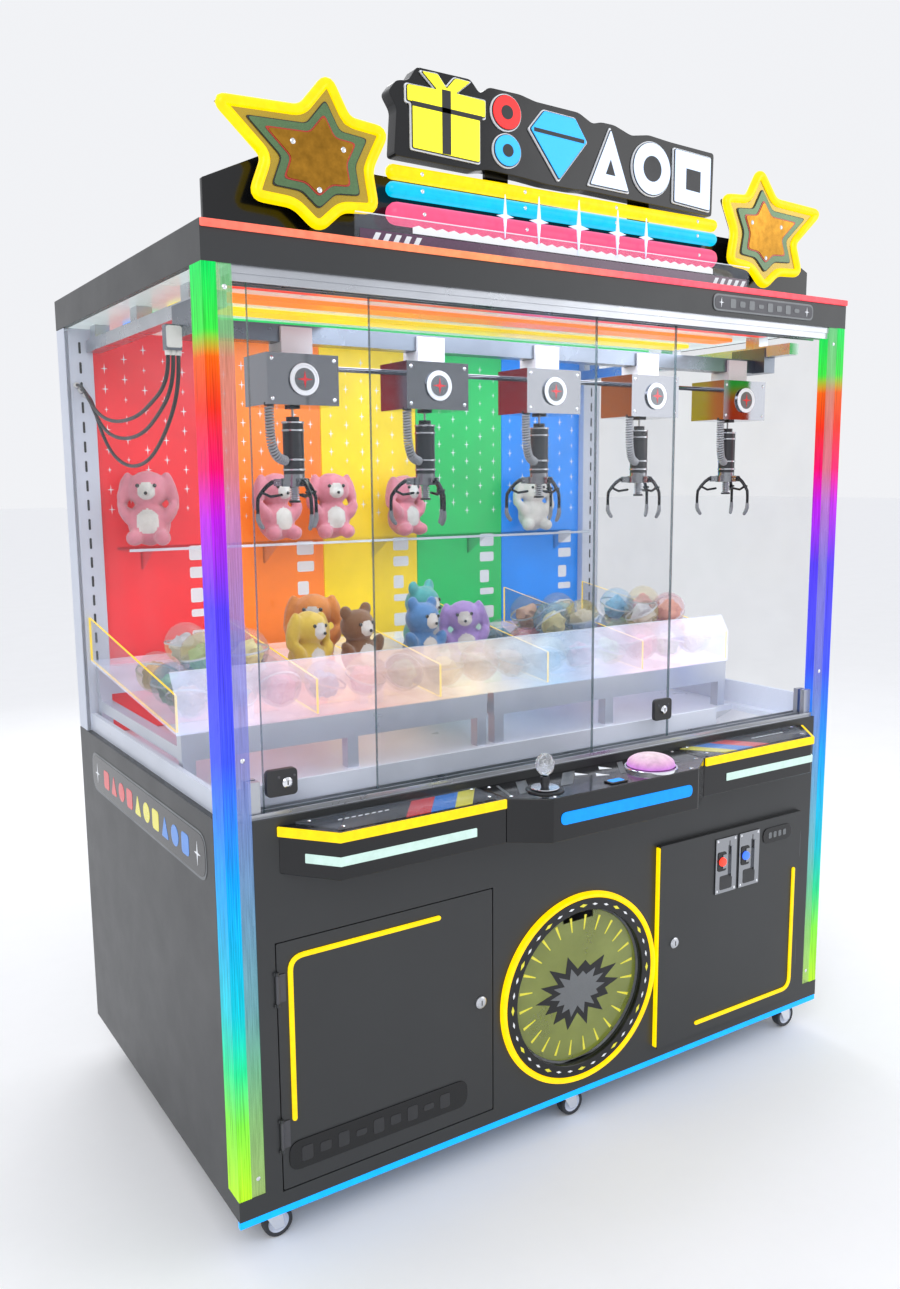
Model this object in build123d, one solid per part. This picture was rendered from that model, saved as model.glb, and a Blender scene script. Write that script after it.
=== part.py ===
from build123d import *
import os
from math import cos, hypot, pi, radians, sin, tan

# Claw crane machine with five claws on one gantry. Millimetres, +Z up, front faces -Y.
# The origin is on the floor, under the middle of the whole object.

# ---- driving dimensions -------------------------------------------------------------
WIDTH = 1500.0
CABINET_DEPTH = 890.0
CONSOLE_REACH = 140.0        # from the front panel to the light bar on the console's centre
CASTER_HEIGHT = 90.0
BASE_HEIGHT = 705.0          # underside of the cabinet to the door sill
WINDOW_HEIGHT = 880.0        # door sill to the roof canopy
CANOPY_HEIGHT = 61.0

HALF = WIDTH / 2
FRONT = -(CABINET_DEPTH + CONSOLE_REACH) / 2 + CONSOLE_REACH
BACK = FRONT + CABINET_DEPTH
BASE_Z = CASTER_HEIGHT
SILL_Z = BASE_Z + BASE_HEIGHT
ROOF_Z = SILL_Z + WINDOW_HEIGHT
ROOF_TOP = ROOF_Z + CANOPY_HEIGHT

PANEL_T = 6.0                # front panel sheet
SIDE_T = 12.0                # side and rear panels
COLUMN_W = 49.0              # light column with its clear fin
COLUMN_BAR = 24.0
COLUMN_D = 50.0
PLINTH_TOP = BASE_Z + 38
POST = 60.0                  # rear corner post
GLASS_T = 8.0
RUN_GAP = 0.3                # between curved faces that move past each other

DECK_TOP = SILL_Z - 15
DECK_T = 12.0
SLOT_Y0 = FRONT + 66         # drop slot in front of the tray
SLOT_Y1 = FRONT + 250
SLOT_HALF = 700.0
BIN_HALF = 190.0             # prize bin behind the round door
BIN_TOP = 600.0
BIN_FLOOR = 150.0
BIN_BACK = FRONT + 350

FLAP_Z = 316.0               # centre of the round prize door
FLAP_R = 161.0
FLAP_HOLE_R = 165.0
RING_R = 202.0
FLAP_HINGE_Y = FRONT + 14
FLAP_HINGE_Z = FLAP_Z + FLAP_R + 10

DOOR_Z0, DOOR_Z1 = 118.0, 577.0
SERVICE_X0, SERVICE_X1 = -668.0, -219.0
COIN_X0, COIN_X1 = 209.0, 655.0
COIN_PROUD = 12.0
SLOT_X = (372.0, 446.0)      # left edges of the two coin plates
KNUCKLE_R, PIN_R = 3.5, 1.5
KNUCKLE_GAP = 0.3
KNUCKLES_Z = (200.0, 470.0)  # foot of each hinge knuckle
KNUCKLE_H = 50.0
SERVICE_HINGE = (SERVICE_X0, FRONT - KNUCKLE_R)
COIN_HINGE = (COIN_X1 + KNUCKLE_R, FRONT - COIN_PROUD / 2)

CONSOLE_TOP = 780.0
CONSOLE_BOTTOM = 697.0
WING_REACH = 88.0
WING_X = (250.0, 585.0, 656.0)   # inner end, chamfer start and outer end of a wing
CENTRE_X = 183.0                 # half width of the centre's front face
BAR_T = 2.0                      # light bar on that face
JOY_X, JOY_Y = -160.0, FRONT - 84
BUTTON_X, BUTTON_Y = 105.0, FRONT - 84

TRAY_X0 = -733.0
LANE = 285.0
LANES = 5
TRAY_Y0, TRAY_Y1 = FRONT + 262, FRONT + 828
TRAY_Z0, TRAY_Z1 = 892.0, 950.0  # underside of the tray floor at the front and the back
TRAY_T = 5.0
SHELF_Z = 1204.0             # top of the clear shelf on the back wall

CLAWS = 5
CLAW_PITCH = 280.0
CLAW_X0 = -510.0
CLAW_Y = FRONT + 210
WINCH_Z0, WINCH_Z1 = 1480.0, 1568.0
HEAD_TOP, HEAD_Z, HUB_Z = 1462.0, 1353.0, 1338.0
RAIL_X = 690.0
RAIL_Z0, RAIL_Z1 = 1625.0, 1650.0
BEAM_Z0, BEAM_Z1 = 1590.0, 1620.0

CASTER_X = (-680.0, 0.0, 680.0)
CASTER_Y = (FRONT + 55, BACK - 55)
WHEEL_R, WHEEL_W = 28.0, 22.0
CASTER_TRAIL = 20.0

CABLE_D = 7.0
CURLY_D = 18.0

parts = {}


def add(node, *solids):
    """Put solids into a named node."""
    parts.setdefault(node, []).extend(solids)


def block(x0, x1, y0, y1, z0, z1):
    """A box between two corners."""
    centre = Pos((x0 + x1) / 2, (y0 + y1) / 2, (z0 + z1) / 2)
    return centre * Box(abs(x1 - x0), abs(y1 - y0), abs(z1 - z0))


def prism(points, direction):
    """A flat outline given by 3D points, pulled along a direction."""
    face = Face(Wire.make_polygon([Vector(*p) for p in points], close=True))
    return Solid.extrude(face, Vector(*direction))


def plan_prism(outline, z0, z1):
    """An outline in plan, from one height to another."""
    return prism([(x, y, z0) for x, y in outline], (0, 0, z1 - z0))


def front_prism(outline, y0, y1):
    """An outline seen from the front, from one depth to another."""
    return prism([(x, y0, z) for x, z in outline], (0, y1 - y0, 0))


def side_prism(outline, x0, x1):
    """An outline seen from the side, from one x to another."""
    return prism([(x0, y, z) for y, z in outline], (x1 - x0, 0, 0))


def rod(x, y, z, radius, length, axis="Z"):
    """A cylinder from a point along +X, +Y or +Z."""
    turn = {"X": (0, 90, 0), "Y": (-90, 0, 0), "Z": (0, 0, 0)}[axis]
    align = (Align.CENTER, Align.CENTER, Align.MIN)
    return Pos(x, y, z) * Rot(*turn) * Cylinder(radius, length, align=align)


def ring(x, y, z, outer, inner, length, axis="Y"):
    """A flat ring from a point along an axis."""
    return rod(x, y, z, outer, length, axis) - rod(x, y, z, inner, length, axis)


def mirrored(outline):
    """The same outline on the other side of the middle plane."""
    return [(-x, other) for x, other in reversed(outline)]


def cord_tube(points, diameter, name):
    """A plain tube along straight runs and tangent arcs; prints its radii."""
    pts = [Vector(*p) for p in points]
    radii = []
    for before, here, after in zip(pts, pts[1:], pts[2:]):
        turn = radians((here - before).get_angle(after - here))
        shorter = min((here - before).length, (after - here).length)
        radii.append(0.45 * shorter / tan(turn / 2))
    print(name, "radii", [round(r) for r in radii])
    path = FilletPolyline(*pts, radius=radii)
    section = Plane(origin=path @ 0, z_dir=path % 0) * Circle(diameter / 2)
    tube = sweep(section, path=path)
    print(name, "length", round(path.length), "fill",
          round(tube.volume / (pi * diameter ** 2 / 4 * path.length), 3))
    return tube


# ---- base cabinet -------------------------------------------------------------------

def base_frame():
    """Floor tray, four uprights, two cross rails and the six caster plates."""
    add("base_frame", block(-738, 738, FRONT + PANEL_T, BACK - SIDE_T, BASE_Z, BASE_Z + 12))
    for side in (-1, 1):
        add("base_frame",
            block(side * 702, side * 724, FRONT + 16, FRONT + 50, PLINTH_TOP, SILL_Z - 12),
            block(side * 706, side * 736, BACK - 44, BACK - 14, BASE_Z + 12, DECK_TOP - DECK_T),
            block(side * 706, side * 736, SLOT_Y1 + 8, BACK - 44, 738, DECK_TOP - DECK_T))
    for x in CASTER_X:
        for y in CASTER_Y:
            add("base_frame", block(x - 35, x + 35, y - 28, y + 28, BASE_Z - 4, BASE_Z))


def cabinet_panels():
    """Side panels, plinth corners, and the rear sheet in a lower and an upper piece."""
    for side in (-1, 1):
        add("cabinet_panels",
            block(side * HALF, side * (HALF - SIDE_T), FRONT + COLUMN_D, BACK, BASE_Z, SILL_Z),
            block(side * HALF, side * (HALF - COLUMN_W), FRONT, FRONT + PANEL_T,
                  BASE_Z, PLINTH_TOP),
            block(side * HALF, side * (HALF - SIDE_T), FRONT + PANEL_T, FRONT + COLUMN_D,
                  BASE_Z, PLINTH_TOP))
    add("cabinet_panels",
        block(-HALF + SIDE_T, HALF - SIDE_T, BACK - SIDE_T, BACK, BASE_Z, SILL_Z),
        block(-HALF + POST, HALF - POST, BACK - SIDE_T, BACK, SILL_Z, ROOF_Z))


def front_panel():
    """Lower front sheet with the service, prize and coin openings."""
    edge = HALF - COLUMN_W
    panel = block(-edge, edge, FRONT, FRONT + PANEL_T, BASE_Z, SILL_Z)
    panel -= block(SERVICE_X0 - 1, SERVICE_X1 + 1, FRONT - 1, FRONT + 9, DOOR_Z0, DOOR_Z1)
    panel -= block(COIN_X0 + 12, COIN_X1 - 12, FRONT - 1, FRONT + 9, DOOR_Z0 + 12, DOOR_Z1 - 12)
    panel -= rod(0, FRONT - 1, FLAP_Z, FLAP_HOLE_R, 9, "Y")
    add("front_panel", panel)


def play_deck():
    """White floor of the window, the ends of the drop slot, and the skirtings."""
    low = DECK_TOP - DECK_T
    add("play_deck", block(-738, 738, SLOT_Y1, BACK - 41, low, DECK_TOP))
    for side in (-1, 1):
        add("play_deck",
            block(side * SLOT_HALF, side * 738, SLOT_Y0, SLOT_Y1, low, DECK_TOP),
            block(side * 728, side * 738, SLOT_Y0, BACK - POST, DECK_TOP, DECK_TOP + 55))
    add("play_deck",
        block(-SLOT_HALF, 440, FRONT + 60, SLOT_Y0, low, SILL_Z + 41),
        block(440, SLOT_HALF, FRONT + 60, SLOT_Y0, low, SILL_Z))


def prize_chute():
    """Two ramps lead from the drop slot to the bin behind the round door."""
    low = DECK_TOP - DECK_T
    for side in (-1, 1):
        ramp = [(side * SLOT_HALF, low), (side * BIN_HALF, BIN_TOP),
                (side * BIN_HALF, BIN_TOP - 7), (side * SLOT_HALF, low - 7)]
        add("prize_chute", front_prism(ramp, SLOT_Y0, SLOT_Y1))
        add("prize_chute", block(side * BIN_HALF, side * (BIN_HALF + 6),
                                 FRONT + 22, BIN_BACK, BIN_FLOOR, BIN_TOP - 10))
    reach = BIN_HALF + 6
    add("prize_chute",
        block(-SLOT_HALF, SLOT_HALF, FRONT + 60, SLOT_Y0, BIN_TOP - 10, low),
        block(-SLOT_HALF, SLOT_HALF, SLOT_Y1, SLOT_Y1 + 6, BIN_TOP - 10, low),
        block(-reach, reach, BIN_BACK, BIN_BACK + 6, BIN_FLOOR, BIN_TOP - 10),
        block(-reach, reach, FRONT + 22, BIN_BACK + 6, BIN_FLOOR - 6, BIN_FLOOR),
        block(-reach, reach, SLOT_Y1 + 6, BIN_BACK + 6, BIN_TOP - 10, BIN_TOP - 4))


def electronics():
    """Power supply and control board on the floor tray."""
    floor = BASE_Z + 12
    add("electronics",
        block(-640, -420, 250, 370, floor, floor + 70),
        block(-360, -240, 250, 390, floor, floor + 30))


def corner_columns():
    """Front light columns with clear fins, and the rear corner posts."""
    for side in (-1, 1):
        bar_in = HALF - COLUMN_BAR
        add("corner_columns",
            block(side * HALF, side * bar_in, FRONT, FRONT + COLUMN_D, PLINTH_TOP, ROOF_Z),
            block(side * bar_in, side * (HALF - COLUMN_W), FRONT + 1, FRONT + 7,
                  PLINTH_TOP, ROOF_Z),
            block(side * HALF, side * (HALF - POST), BACK - POST, BACK, SILL_Z, ROOF_Z))


def side_glass():
    """The two fixed side panes."""
    for side in (-1, 1):
        add("side_glass", block(side * (HALF - 1), side * (HALF - 1 - GLASS_T),
                                FRONT + COLUMN_D, BACK - POST, SILL_Z, ROOF_Z))


def back_wall():
    """Five coloured light panels and the clear shelf in front of them."""
    panel_w = 2 * (HALF - POST) / LANES
    for k in range(LANES):
        x = -(HALF - POST) + k * panel_w
        add("back_wall", block(x, x + panel_w, BACK - 40, BACK - SIDE_T, DECK_TOP, ROOF_Z))
    add("back_wall", block(-655, 655, BACK - 135, BACK - 40, SHELF_Z - 8, SHELF_Z))


# ---- roof ---------------------------------------------------------------------------

def roof():
    """Canopy shell, open below, and the ceiling panel with its light bars."""
    wall = 10
    shell = block(-HALF, HALF, FRONT, BACK, ROOF_Z, ROOF_TOP)
    shell -= block(-HALF + wall, HALF - wall, FRONT + wall, BACK - wall,
                   ROOF_Z - 1, ROOF_TOP - wall)
    add("roof_canopy", shell)
    inner = HALF - wall
    add("ceiling_lights", block(-inner, inner, FRONT + wall, BACK - wall, ROOF_Z, ROOF_Z + 8))
    for k in range(5):
        y = FRONT + 129 + k * 142
        add("ceiling_lights", block(-655, 655, y - 30, y + 30, ROOF_Z - 8, ROOF_Z))


# The marquee board, the sign on it and the left star, seen from the front.
BOARD = [(-713, ROOF_TOP), (713, ROOF_TOP), (713, 1805), (608, 1850), (-608, 1865), (-713, 1816)]
SIGN = [(-382, 1890), (-216, 1888), (-190, 1893), (-110, 1890), (-60, 1886), (10, 1886),
        (40, 1888), (374, 1880), (376, 2004), (250, 2008), (196, 2012), (150, 2004), (106, 2016),
        (74, 2016), (52, 2010), (18, 2024), (-84, 2026), (-118, 2032), (-186, 2032),
        (-206, 2018), (-226, 2038), (-336, 2038), (-352, 2014), (-376, 2010), (-392, 1990),
        (-376, 1966)]
STAR = [(-707, 1928), (-557, 1934), (-507, 1993), (-471, 1930), (-398, 1924), (-432, 1858),
        (-420, 1793), (-486, 1788), (-530, 1749), (-573, 1784), (-647, 1788), (-622, 1852)]
# left edge, right edge, foot and head of each raised shape on the sign
SIGN_SHAPES = ((-358, -200, 1904, 2030), (-182, -122, 1966, 2022), (-178, -122, 1904, 1956),
               (-96, 30, 1900, 2008), (46, 136, 1898, 2000), (152, 248, 1900, 1996),
               (262, 360, 1892, 1990))
TUBES = ((1865, 12.5), (1837, 13.0), (1798, 19.0))
SPARKLES = ((-168, 26), (-92, 32), (2, 38), (98, 32), (172, 26))


def marquee():
    """Board, raised shapes, light tubes, clear plate with sparkles, and two stars."""
    add("marquee_board", front_prism(BOARD, FRONT + 80, FRONT + 90))
    add("marquee_board", front_prism(SIGN, FRONT + 52, FRONT + 80))
    for x0, x1, z0, z1 in SIGN_SHAPES:
        add("marquee_board", block(x0, x1, FRONT + 45, FRONT + 52, z0, z1))
    for z, radius in TUBES:
        add("marquee_tubes", rod(-394, FRONT + 60, z, radius, 788, "X"))
    add("marquee_tubes", block(-470, 470, FRONT + 32, FRONT + 36, ROOF_TOP, 1786))
    for x, reach in SPARKLES:
        w = 9
        shape = [(x, 1816 + reach), (x + w, 1816), (x, 1816 - reach), (x - w, 1816)]
        add("marquee_tubes", front_prism(shape, FRONT + 28, FRONT + 32))
    for outline in (STAR, mirrored(STAR)):
        add("marquee_stars", front_prism(outline, FRONT + 38, FRONT + 60))
        middle = sum(x for x, _ in outline) / len(outline)
        for dx, z in ((-45, 1880), (45, 1880), (0, 1812)):
            add("marquee_stars", rod(middle + dx, FRONT + 60, z, 9, 20, "Y"))


# ---- doors of the window ------------------------------------------------------------

RIBS = (8, 27, 46)           # front faces of the track ribs, behind the front panel's face
LEFT_DOOR_X0 = -672.0
DOOR_W = 712.0
RIGHT_DOOR_X0 = -445.0       # rest place; its closed place is at -40


def door_tracks():
    """Sill and header of the sliding doors, with three ribs each and end stops."""
    edge = HALF - COLUMN_W
    add("door_tracks",
        block(-edge, edge, FRONT + PANEL_T, FRONT + 60, SILL_Z - 12, SILL_Z),
        block(-edge, edge, FRONT + PANEL_T, FRONT + 52, ROOF_Z - 12, ROOF_Z))
    for y in RIBS:
        add("door_tracks",
            block(-edge, edge, FRONT + y, FRONT + y + 3, SILL_Z, SILL_Z + 8),
            block(-edge, edge, FRONT + y, FRONT + y + 3, ROOF_Z - 24, ROOF_Z - 12))
    for side in (-1, 1):
        add("door_tracks", block(side * 680, side * edge, FRONT + 13, FRONT + 25,
                                 SILL_Z, SILL_Z + 62))
        add("door_tracks", block(side * 680, side * edge, FRONT + 32, FRONT + 44,
                                 SILL_Z, SILL_Z + 62))


def glass_doors():
    """Two frameless sliding doors with a lock on each."""
    z0, z1 = SILL_Z + 2, ROOF_Z - 14
    for node, x0, y in (("left_glass_door", LEFT_DOOR_X0, FRONT + 15),
                        ("right_glass_door", RIGHT_DOOR_X0, FRONT + 34)):
        add(node, block(x0, x0 + DOOR_W, y, y + GLASS_T, z0, z1))
    lock_z = SILL_Z + 57
    add("left_glass_door",
        block(LEFT_DOOR_X0, LEFT_DOOR_X0 + 56, FRONT + 3, FRONT + 15, lock_z - 23, lock_z + 23),
        rod(LEFT_DOOR_X0 + 36, FRONT - 2, lock_z, 9, 5, "Y"))
    right_edge = RIGHT_DOOR_X0 + DOOR_W
    add("right_glass_door",
        block(right_edge - 50, right_edge, FRONT + 25, FRONT + 34, lock_z - 12, lock_z + 34))


# ---- lower doors --------------------------------------------------------------------

def knuckles(node, hinge, leaf, lug):
    """Two hinge knuckles on a door, and the cabinet's pins with a lug above and below."""
    x, y = hinge
    for z in KNUCKLES_Z:
        knuckle = rod(x, y, z, KNUCKLE_R, KNUCKLE_H) + block(*leaf, z, z + KNUCKLE_H)
        add(node, knuckle - rod(x, y, z - 1, PIN_R + 0.1, KNUCKLE_H + 2))
        low, high = z - KNUCKLE_GAP, z + KNUCKLE_H + KNUCKLE_GAP
        pin = rod(x, y, low, PIN_R, high - low)
        for z0 in (low - 6, high):
            pin += rod(x, y, z0, KNUCKLE_R - 0.1, 6) + block(*lug, z0, z0 + 6)
        add("cabinet_panels", pin)


def service_door():
    """Flush door hinged at its left edge, with a lock, a corner light and a blank tag."""
    x, y = SERVICE_HINGE
    knuckles("service_door", SERVICE_HINGE, (x, x + 16, FRONT - 2, FRONT),
             (x - 6, x, y, FRONT))
    x0, x1 = SERVICE_X0 + 1, SERVICE_X1 - 1
    add("service_door", block(x0, x1, FRONT, FRONT + PANEL_T, DOOR_Z0 + 2, DOOR_Z1 - 2))
    light_x, light_z = x0 + 20, DOOR_Z1 - 35
    add("service_door",
        block(light_x, light_x + 8, FRONT - 3, FRONT, 250, light_z),
        block(light_x, light_x + 300, FRONT - 3, FRONT, light_z, light_z + 8),
        block(x0 + 12, x1 - 60, FRONT - 2, FRONT, 150, 205),
        rod(x1 - 28, FRONT - 5, 352, 12, 5, "Y"),
        rod(x1 - 28, FRONT + PANEL_T, 352, 10, 18, "Y"))


def coin_door():
    """Raised door hinged at its right edge, with two coin plates and their mechanisms."""
    x, y = COIN_HINGE
    knuckles("coin_door", COIN_HINGE, (COIN_X1, x, y - 2, y + 2), (x, x + 5, y, FRONT))
    y = FRONT - COIN_PROUD
    plate = block(COIN_X0, COIN_X1, y, FRONT, DOOR_Z0, DOOR_Z1)
    for x in SLOT_X:
        plate -= block(x, x + 66, y - 1, FRONT + 1, 434, 561)
    add("coin_door", plate)
    add("coin_door",
        block(COIN_X0 - 4, COIN_X0, y + 1, FRONT - 1, DOOR_Z0 + 4, DOOR_Z1 - 4),
        block(COIN_X1 - 26, COIN_X1 - 18, y - 3, y, 150, 440),
        block(COIN_X1 - 330, COIN_X1 - 18, y - 3, y, 142, 150),
        block(COIN_X1 - 130, COIN_X1 - 35, y - 2, y, 520, 556),
        rod(COIN_X0 + 44, y - 4, 352, 12, 4, "Y"))
    for x in SLOT_X:
        add("coin_mechs",
            block(x + 0.5, x + 65.5, y - 3, FRONT, 434.5, 560.5),
            block(x + 4, x + 62, FRONT, FRONT + 62, 438, 556),
            block(x + 20, x + 34, y - 6, y - 3, 492, 524),
            block(x + 44, x + 50, y - 8, y - 3, 470, 540))


def prize_flap():
    """Round flap that hangs on a top pin and swings in."""
    y = FRONT + 8
    flap = rod(0, y, FLAP_Z, FLAP_R, 6, "Y")
    flap += block(-40, 40, y, y + 6, FLAP_Z + 140, FLAP_HINGE_Z)
    flap += rod(-44, FLAP_HINGE_Y, FLAP_HINGE_Z, 5, 88, "X")
    flap += rod(-53, FLAP_HINGE_Y, FLAP_HINGE_Z, 3, 106, "X")
    add("prize_flap", flap)


def prize_door_ring():
    """Light ring, black band, and the two lugs that hold the flap's pin."""
    add("prize_door_ring",
        ring(0, FRONT - 12, FLAP_Z, RING_R, RING_R - 12, 12),
        ring(0, FRONT - 8, FLAP_Z, RING_R - 12, FLAP_HOLE_R, 8))
    for side in (-1, 1):
        lug = block(side * 45, side * 53, FRONT + PANEL_T, FRONT + 20,
                    FLAP_HINGE_Z - 7, FLAP_HINGE_Z + 7)
        add("prize_door_ring", lug - rod(-60, FLAP_HINGE_Y, FLAP_HINGE_Z, 3.05, 120, "X"))


# ---- console ------------------------------------------------------------------------

def console_outline(side):
    """Plan of a wing: inner end, front edge, chamfer, back."""
    inner, chamfer, outer = WING_X
    return [(side * inner, FRONT), (side * inner, FRONT - WING_REACH),
            (side * chamfer, FRONT - WING_REACH), (side * outer, FRONT)]


def control_console():
    """Two wings and a hollow centre whose top carries the stick and the button."""
    for side in (-1, 1):
        add("control_console", plan_prism(console_outline(side), CONSOLE_BOTTOM, CONSOLE_TOP))
    nose = FRONT - CONSOLE_REACH + BAR_T
    outline = [(-250, FRONT), (-250, FRONT - WING_REACH), (-CENTRE_X, nose),
               (CENTRE_X, nose), (250, FRONT - WING_REACH), (250, FRONT)]
    centre = plan_prism(outline, CONSOLE_BOTTOM, CONSOLE_TOP)
    cavity = [(-242, FRONT), (-242, FRONT - WING_REACH + 4), (-CENTRE_X + 4, nose + 8),
              (CENTRE_X - 4, nose + 8), (242, FRONT - WING_REACH + 4), (242, FRONT)]
    centre -= plan_prism(cavity, CONSOLE_BOTTOM + 6, CONSOLE_TOP - 6)
    centre -= rod(JOY_X, JOY_Y, CONSOLE_TOP - 10, 16, 20)
    centre -= rod(BUTTON_X, BUTTON_Y, CONSOLE_TOP - 10, 20, 20)
    add("control_console", centre)
    add("control_console",
        ring(JOY_X, JOY_Y, CONSOLE_TOP, 36, 16, 3, "Z"),
        ring(BUTTON_X, BUTTON_Y, CONSOLE_TOP, 53, 48.5, 6, "Z"))
    for side in (-1, 1):
        add("control_console", block(JOY_X + side * 34, JOY_X + side * 38, JOY_Y - 14,
                                     JOY_Y + 14, CONSOLE_TOP - 40, CONSOLE_TOP - 6))


def joystick():
    """Gimbal ring on an X pin, and the stick on a Y pin inside it."""
    z = CONSOLE_TOP - 26
    gimbal = block(JOY_X - 24, JOY_X + 24, JOY_Y - 24, JOY_Y + 24, z - 8, z + 8)
    gimbal -= block(JOY_X - 17, JOY_X + 17, JOY_Y - 17, JOY_Y + 17, z - 9, z + 9)
    add("joystick_gimbal", gimbal)
    add("joystick_gimbal",
        rod(JOY_X - 33.7, JOY_Y, z, 3, 9.7, "X"),
        rod(JOY_X + 24, JOY_Y, z, 3, 9.7, "X"))
    stick = rod(JOY_X, JOY_Y, z - 20, 5, 72)
    stick += rod(JOY_X, JOY_Y - 16.7, z, 7, 33.4, "Y")
    add("joystick", stick)
    neck = z + 52
    align = (Align.CENTER, Align.CENTER, Align.MIN)
    knob = Pos(JOY_X, JOY_Y, neck) * Cone(8, 19, 34, align=align)
    knob += Pos(JOY_X, JOY_Y, neck + 34) * Cone(19, 12, 12, align=align)
    add("joystick", knob)


def push_button():
    """Dome button; its stem runs in the console's top."""
    button = rod(BUTTON_X, BUTTON_Y, CONSOLE_TOP + 8, 47.5, 7)
    button += Pos(BUTTON_X, BUTTON_Y, CONSOLE_TOP + 15) * Cone(
        47.5, 26, 16, align=(Align.CENTER, Align.CENTER, Align.MIN))
    button += rod(BUTTON_X, BUTTON_Y, CONSOLE_TOP - 24, 19, 32)
    add("push_button", button)


def plan_strip(outline, thickness, z0, z1, node):
    """Mitred strips standing on the outside of an open outline in plan."""
    normals = []
    for (x0, y0), (x1, y1) in zip(outline, outline[1:]):
        run = hypot(x1 - x0, y1 - y0)
        normals.append(((y1 - y0) / run, -(x1 - x0) / run))
    outer = []
    for i, (x, y) in enumerate(outline):
        a = normals[max(i - 1, 0)]
        b = normals[min(i, len(normals) - 1)]
        nx, ny = a[0] + b[0], a[1] + b[1]
        scale = thickness * 2 / (nx * nx + ny * ny)
        outer.append((x + nx * scale, y + ny * scale))
    for i in range(len(normals)):
        add(node, plan_prism([outline[i], outline[i + 1], outer[i + 1], outer[i]], z0, z1))


def light_strips():
    """Blue base strip, red canopy strip, and the strips on the console."""
    add("light_strips",
        block(-HALF, HALF, FRONT, FRONT + 10, BASE_Z - 14, BASE_Z),
        block(-HALF, HALF, FRONT - 5, FRONT, ROOF_TOP - 12, ROOF_TOP))
    inner, chamfer, outer = WING_X
    for side in (-1, 1):
        edge = [(-outer, FRONT), (-chamfer, FRONT - WING_REACH), (-inner - 2, FRONT - WING_REACH)]
        edge = edge if side < 0 else mirrored(edge)
        plan_strip(edge, 5, CONSOLE_TOP - 17, CONSOLE_TOP, "light_strips")
        white = [(-chamfer - 40, FRONT - WING_REACH * (1 - 40 / (outer - chamfer))),
                 (-chamfer, FRONT - WING_REACH), (-inner - 66, FRONT - WING_REACH)]
        white = white if side < 0 else mirrored(white)
        plan_strip(white, 3, 722, 738, "light_strips")
    bar = FRONT - CONSOLE_REACH
    add("light_strips", block(-165, 165, bar, bar + BAR_T, 727, 751))


# ---- tray ---------------------------------------------------------------------------

def tray_floor_top(y):
    """Height of the tray floor's upper face at a depth."""
    share = (y - TRAY_Y0) / (TRAY_Y1 - TRAY_Y0)
    return TRAY_Z0 + TRAY_T + share * (TRAY_Z1 - TRAY_Z0)


def prize_tray():
    """Sloping clear floor, front wall with a leaning lip, and six dividers."""
    x1 = TRAY_X0 + LANES * LANE
    y_in = TRAY_Y0 + TRAY_T
    fold = 967
    floor = [(y_in, tray_floor_top(y_in) - TRAY_T), (TRAY_Y1, TRAY_Z1),
             (TRAY_Y1, TRAY_Z1 + TRAY_T), (y_in, tray_floor_top(y_in))]
    add("prize_tray",
        side_prism(floor, TRAY_X0, x1),
        block(TRAY_X0, x1, TRAY_Y0, y_in, TRAY_Z0, fold),
        side_prism([(TRAY_Y0, fold), (y_in, fold), (y_in + 24, 1005), (TRAY_Y0 + 24, 1005)],
                   TRAY_X0, x1))
    for k in range(LANES + 1):
        x = TRAY_X0 + k * LANE
        x = min(max(x - TRAY_T / 2, TRAY_X0), x1 - TRAY_T)
        wall = [(y_in, tray_floor_top(y_in)), (TRAY_Y1, TRAY_Z1 + TRAY_T), (TRAY_Y1, 1051),
                (y_in, fold)]
        add("prize_tray", side_prism(wall, x, x + TRAY_T))


# x of the legs of the two stands
STANDS = ((-712, -375, -62), (-16, 300, 672))


def tray_stand():
    """Two aluminium stands: front and rear rails, cross rails, three leg pairs each."""
    for legs in STANDS:
        x0, x1 = legs[0] - 14, legs[-1] + 14
        add("tray_stand",
            block(x0, x1, TRAY_Y0, TRAY_Y0 + 24, 842, TRAY_Z0),
            block(x0, x1, TRAY_Y1 - 34, TRAY_Y1 - 10, 880, 942))
        for x in legs:
            add("tray_stand",
                block(x - 12, x + 12, TRAY_Y0, TRAY_Y0 + 24, DECK_TOP, 842),
                block(x - 12, x + 12, TRAY_Y1 - 34, TRAY_Y1 - 10, DECK_TOP, 880),
                block(x - 12, x + 12, TRAY_Y0 + 24, TRAY_Y1 - 34, 842, 866))


CAPSULE_R = 44.0
HEAP_ROWS = (70, 162, 254)           # depths of the capsules behind the tray's front edge
HEAP_STEP = 92
HEAP_RISE = 66                       # from a layer of capsules to the one that lies on it
HEAP_LANES = (0, 3, 4)
# depth behind the tray's front edge, x from the lane's middle, size
LANE_TOYS = ((206, -70, 50), (214, 66, 48), (318, 4, 54))
# x and size of the toys on the shelf
SHELF_TOYS = ((-596, 54), (-290, 52), (-142, 52), (64, 50), (480, 48))


def plush(x, y, z, size):
    """A seated soft toy: body, head and two ears, as one closed solid."""
    toy = Pos(x, y, z + 0.94 * size) * Sphere(size)
    toy += Pos(x, y, z + 2.35 * size) * Sphere(0.78 * size)
    for side in (-1, 1):
        toy += Pos(x + side * 0.55 * size, y, z + 3.0 * size) * Sphere(0.3 * size)
    return toy


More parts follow.
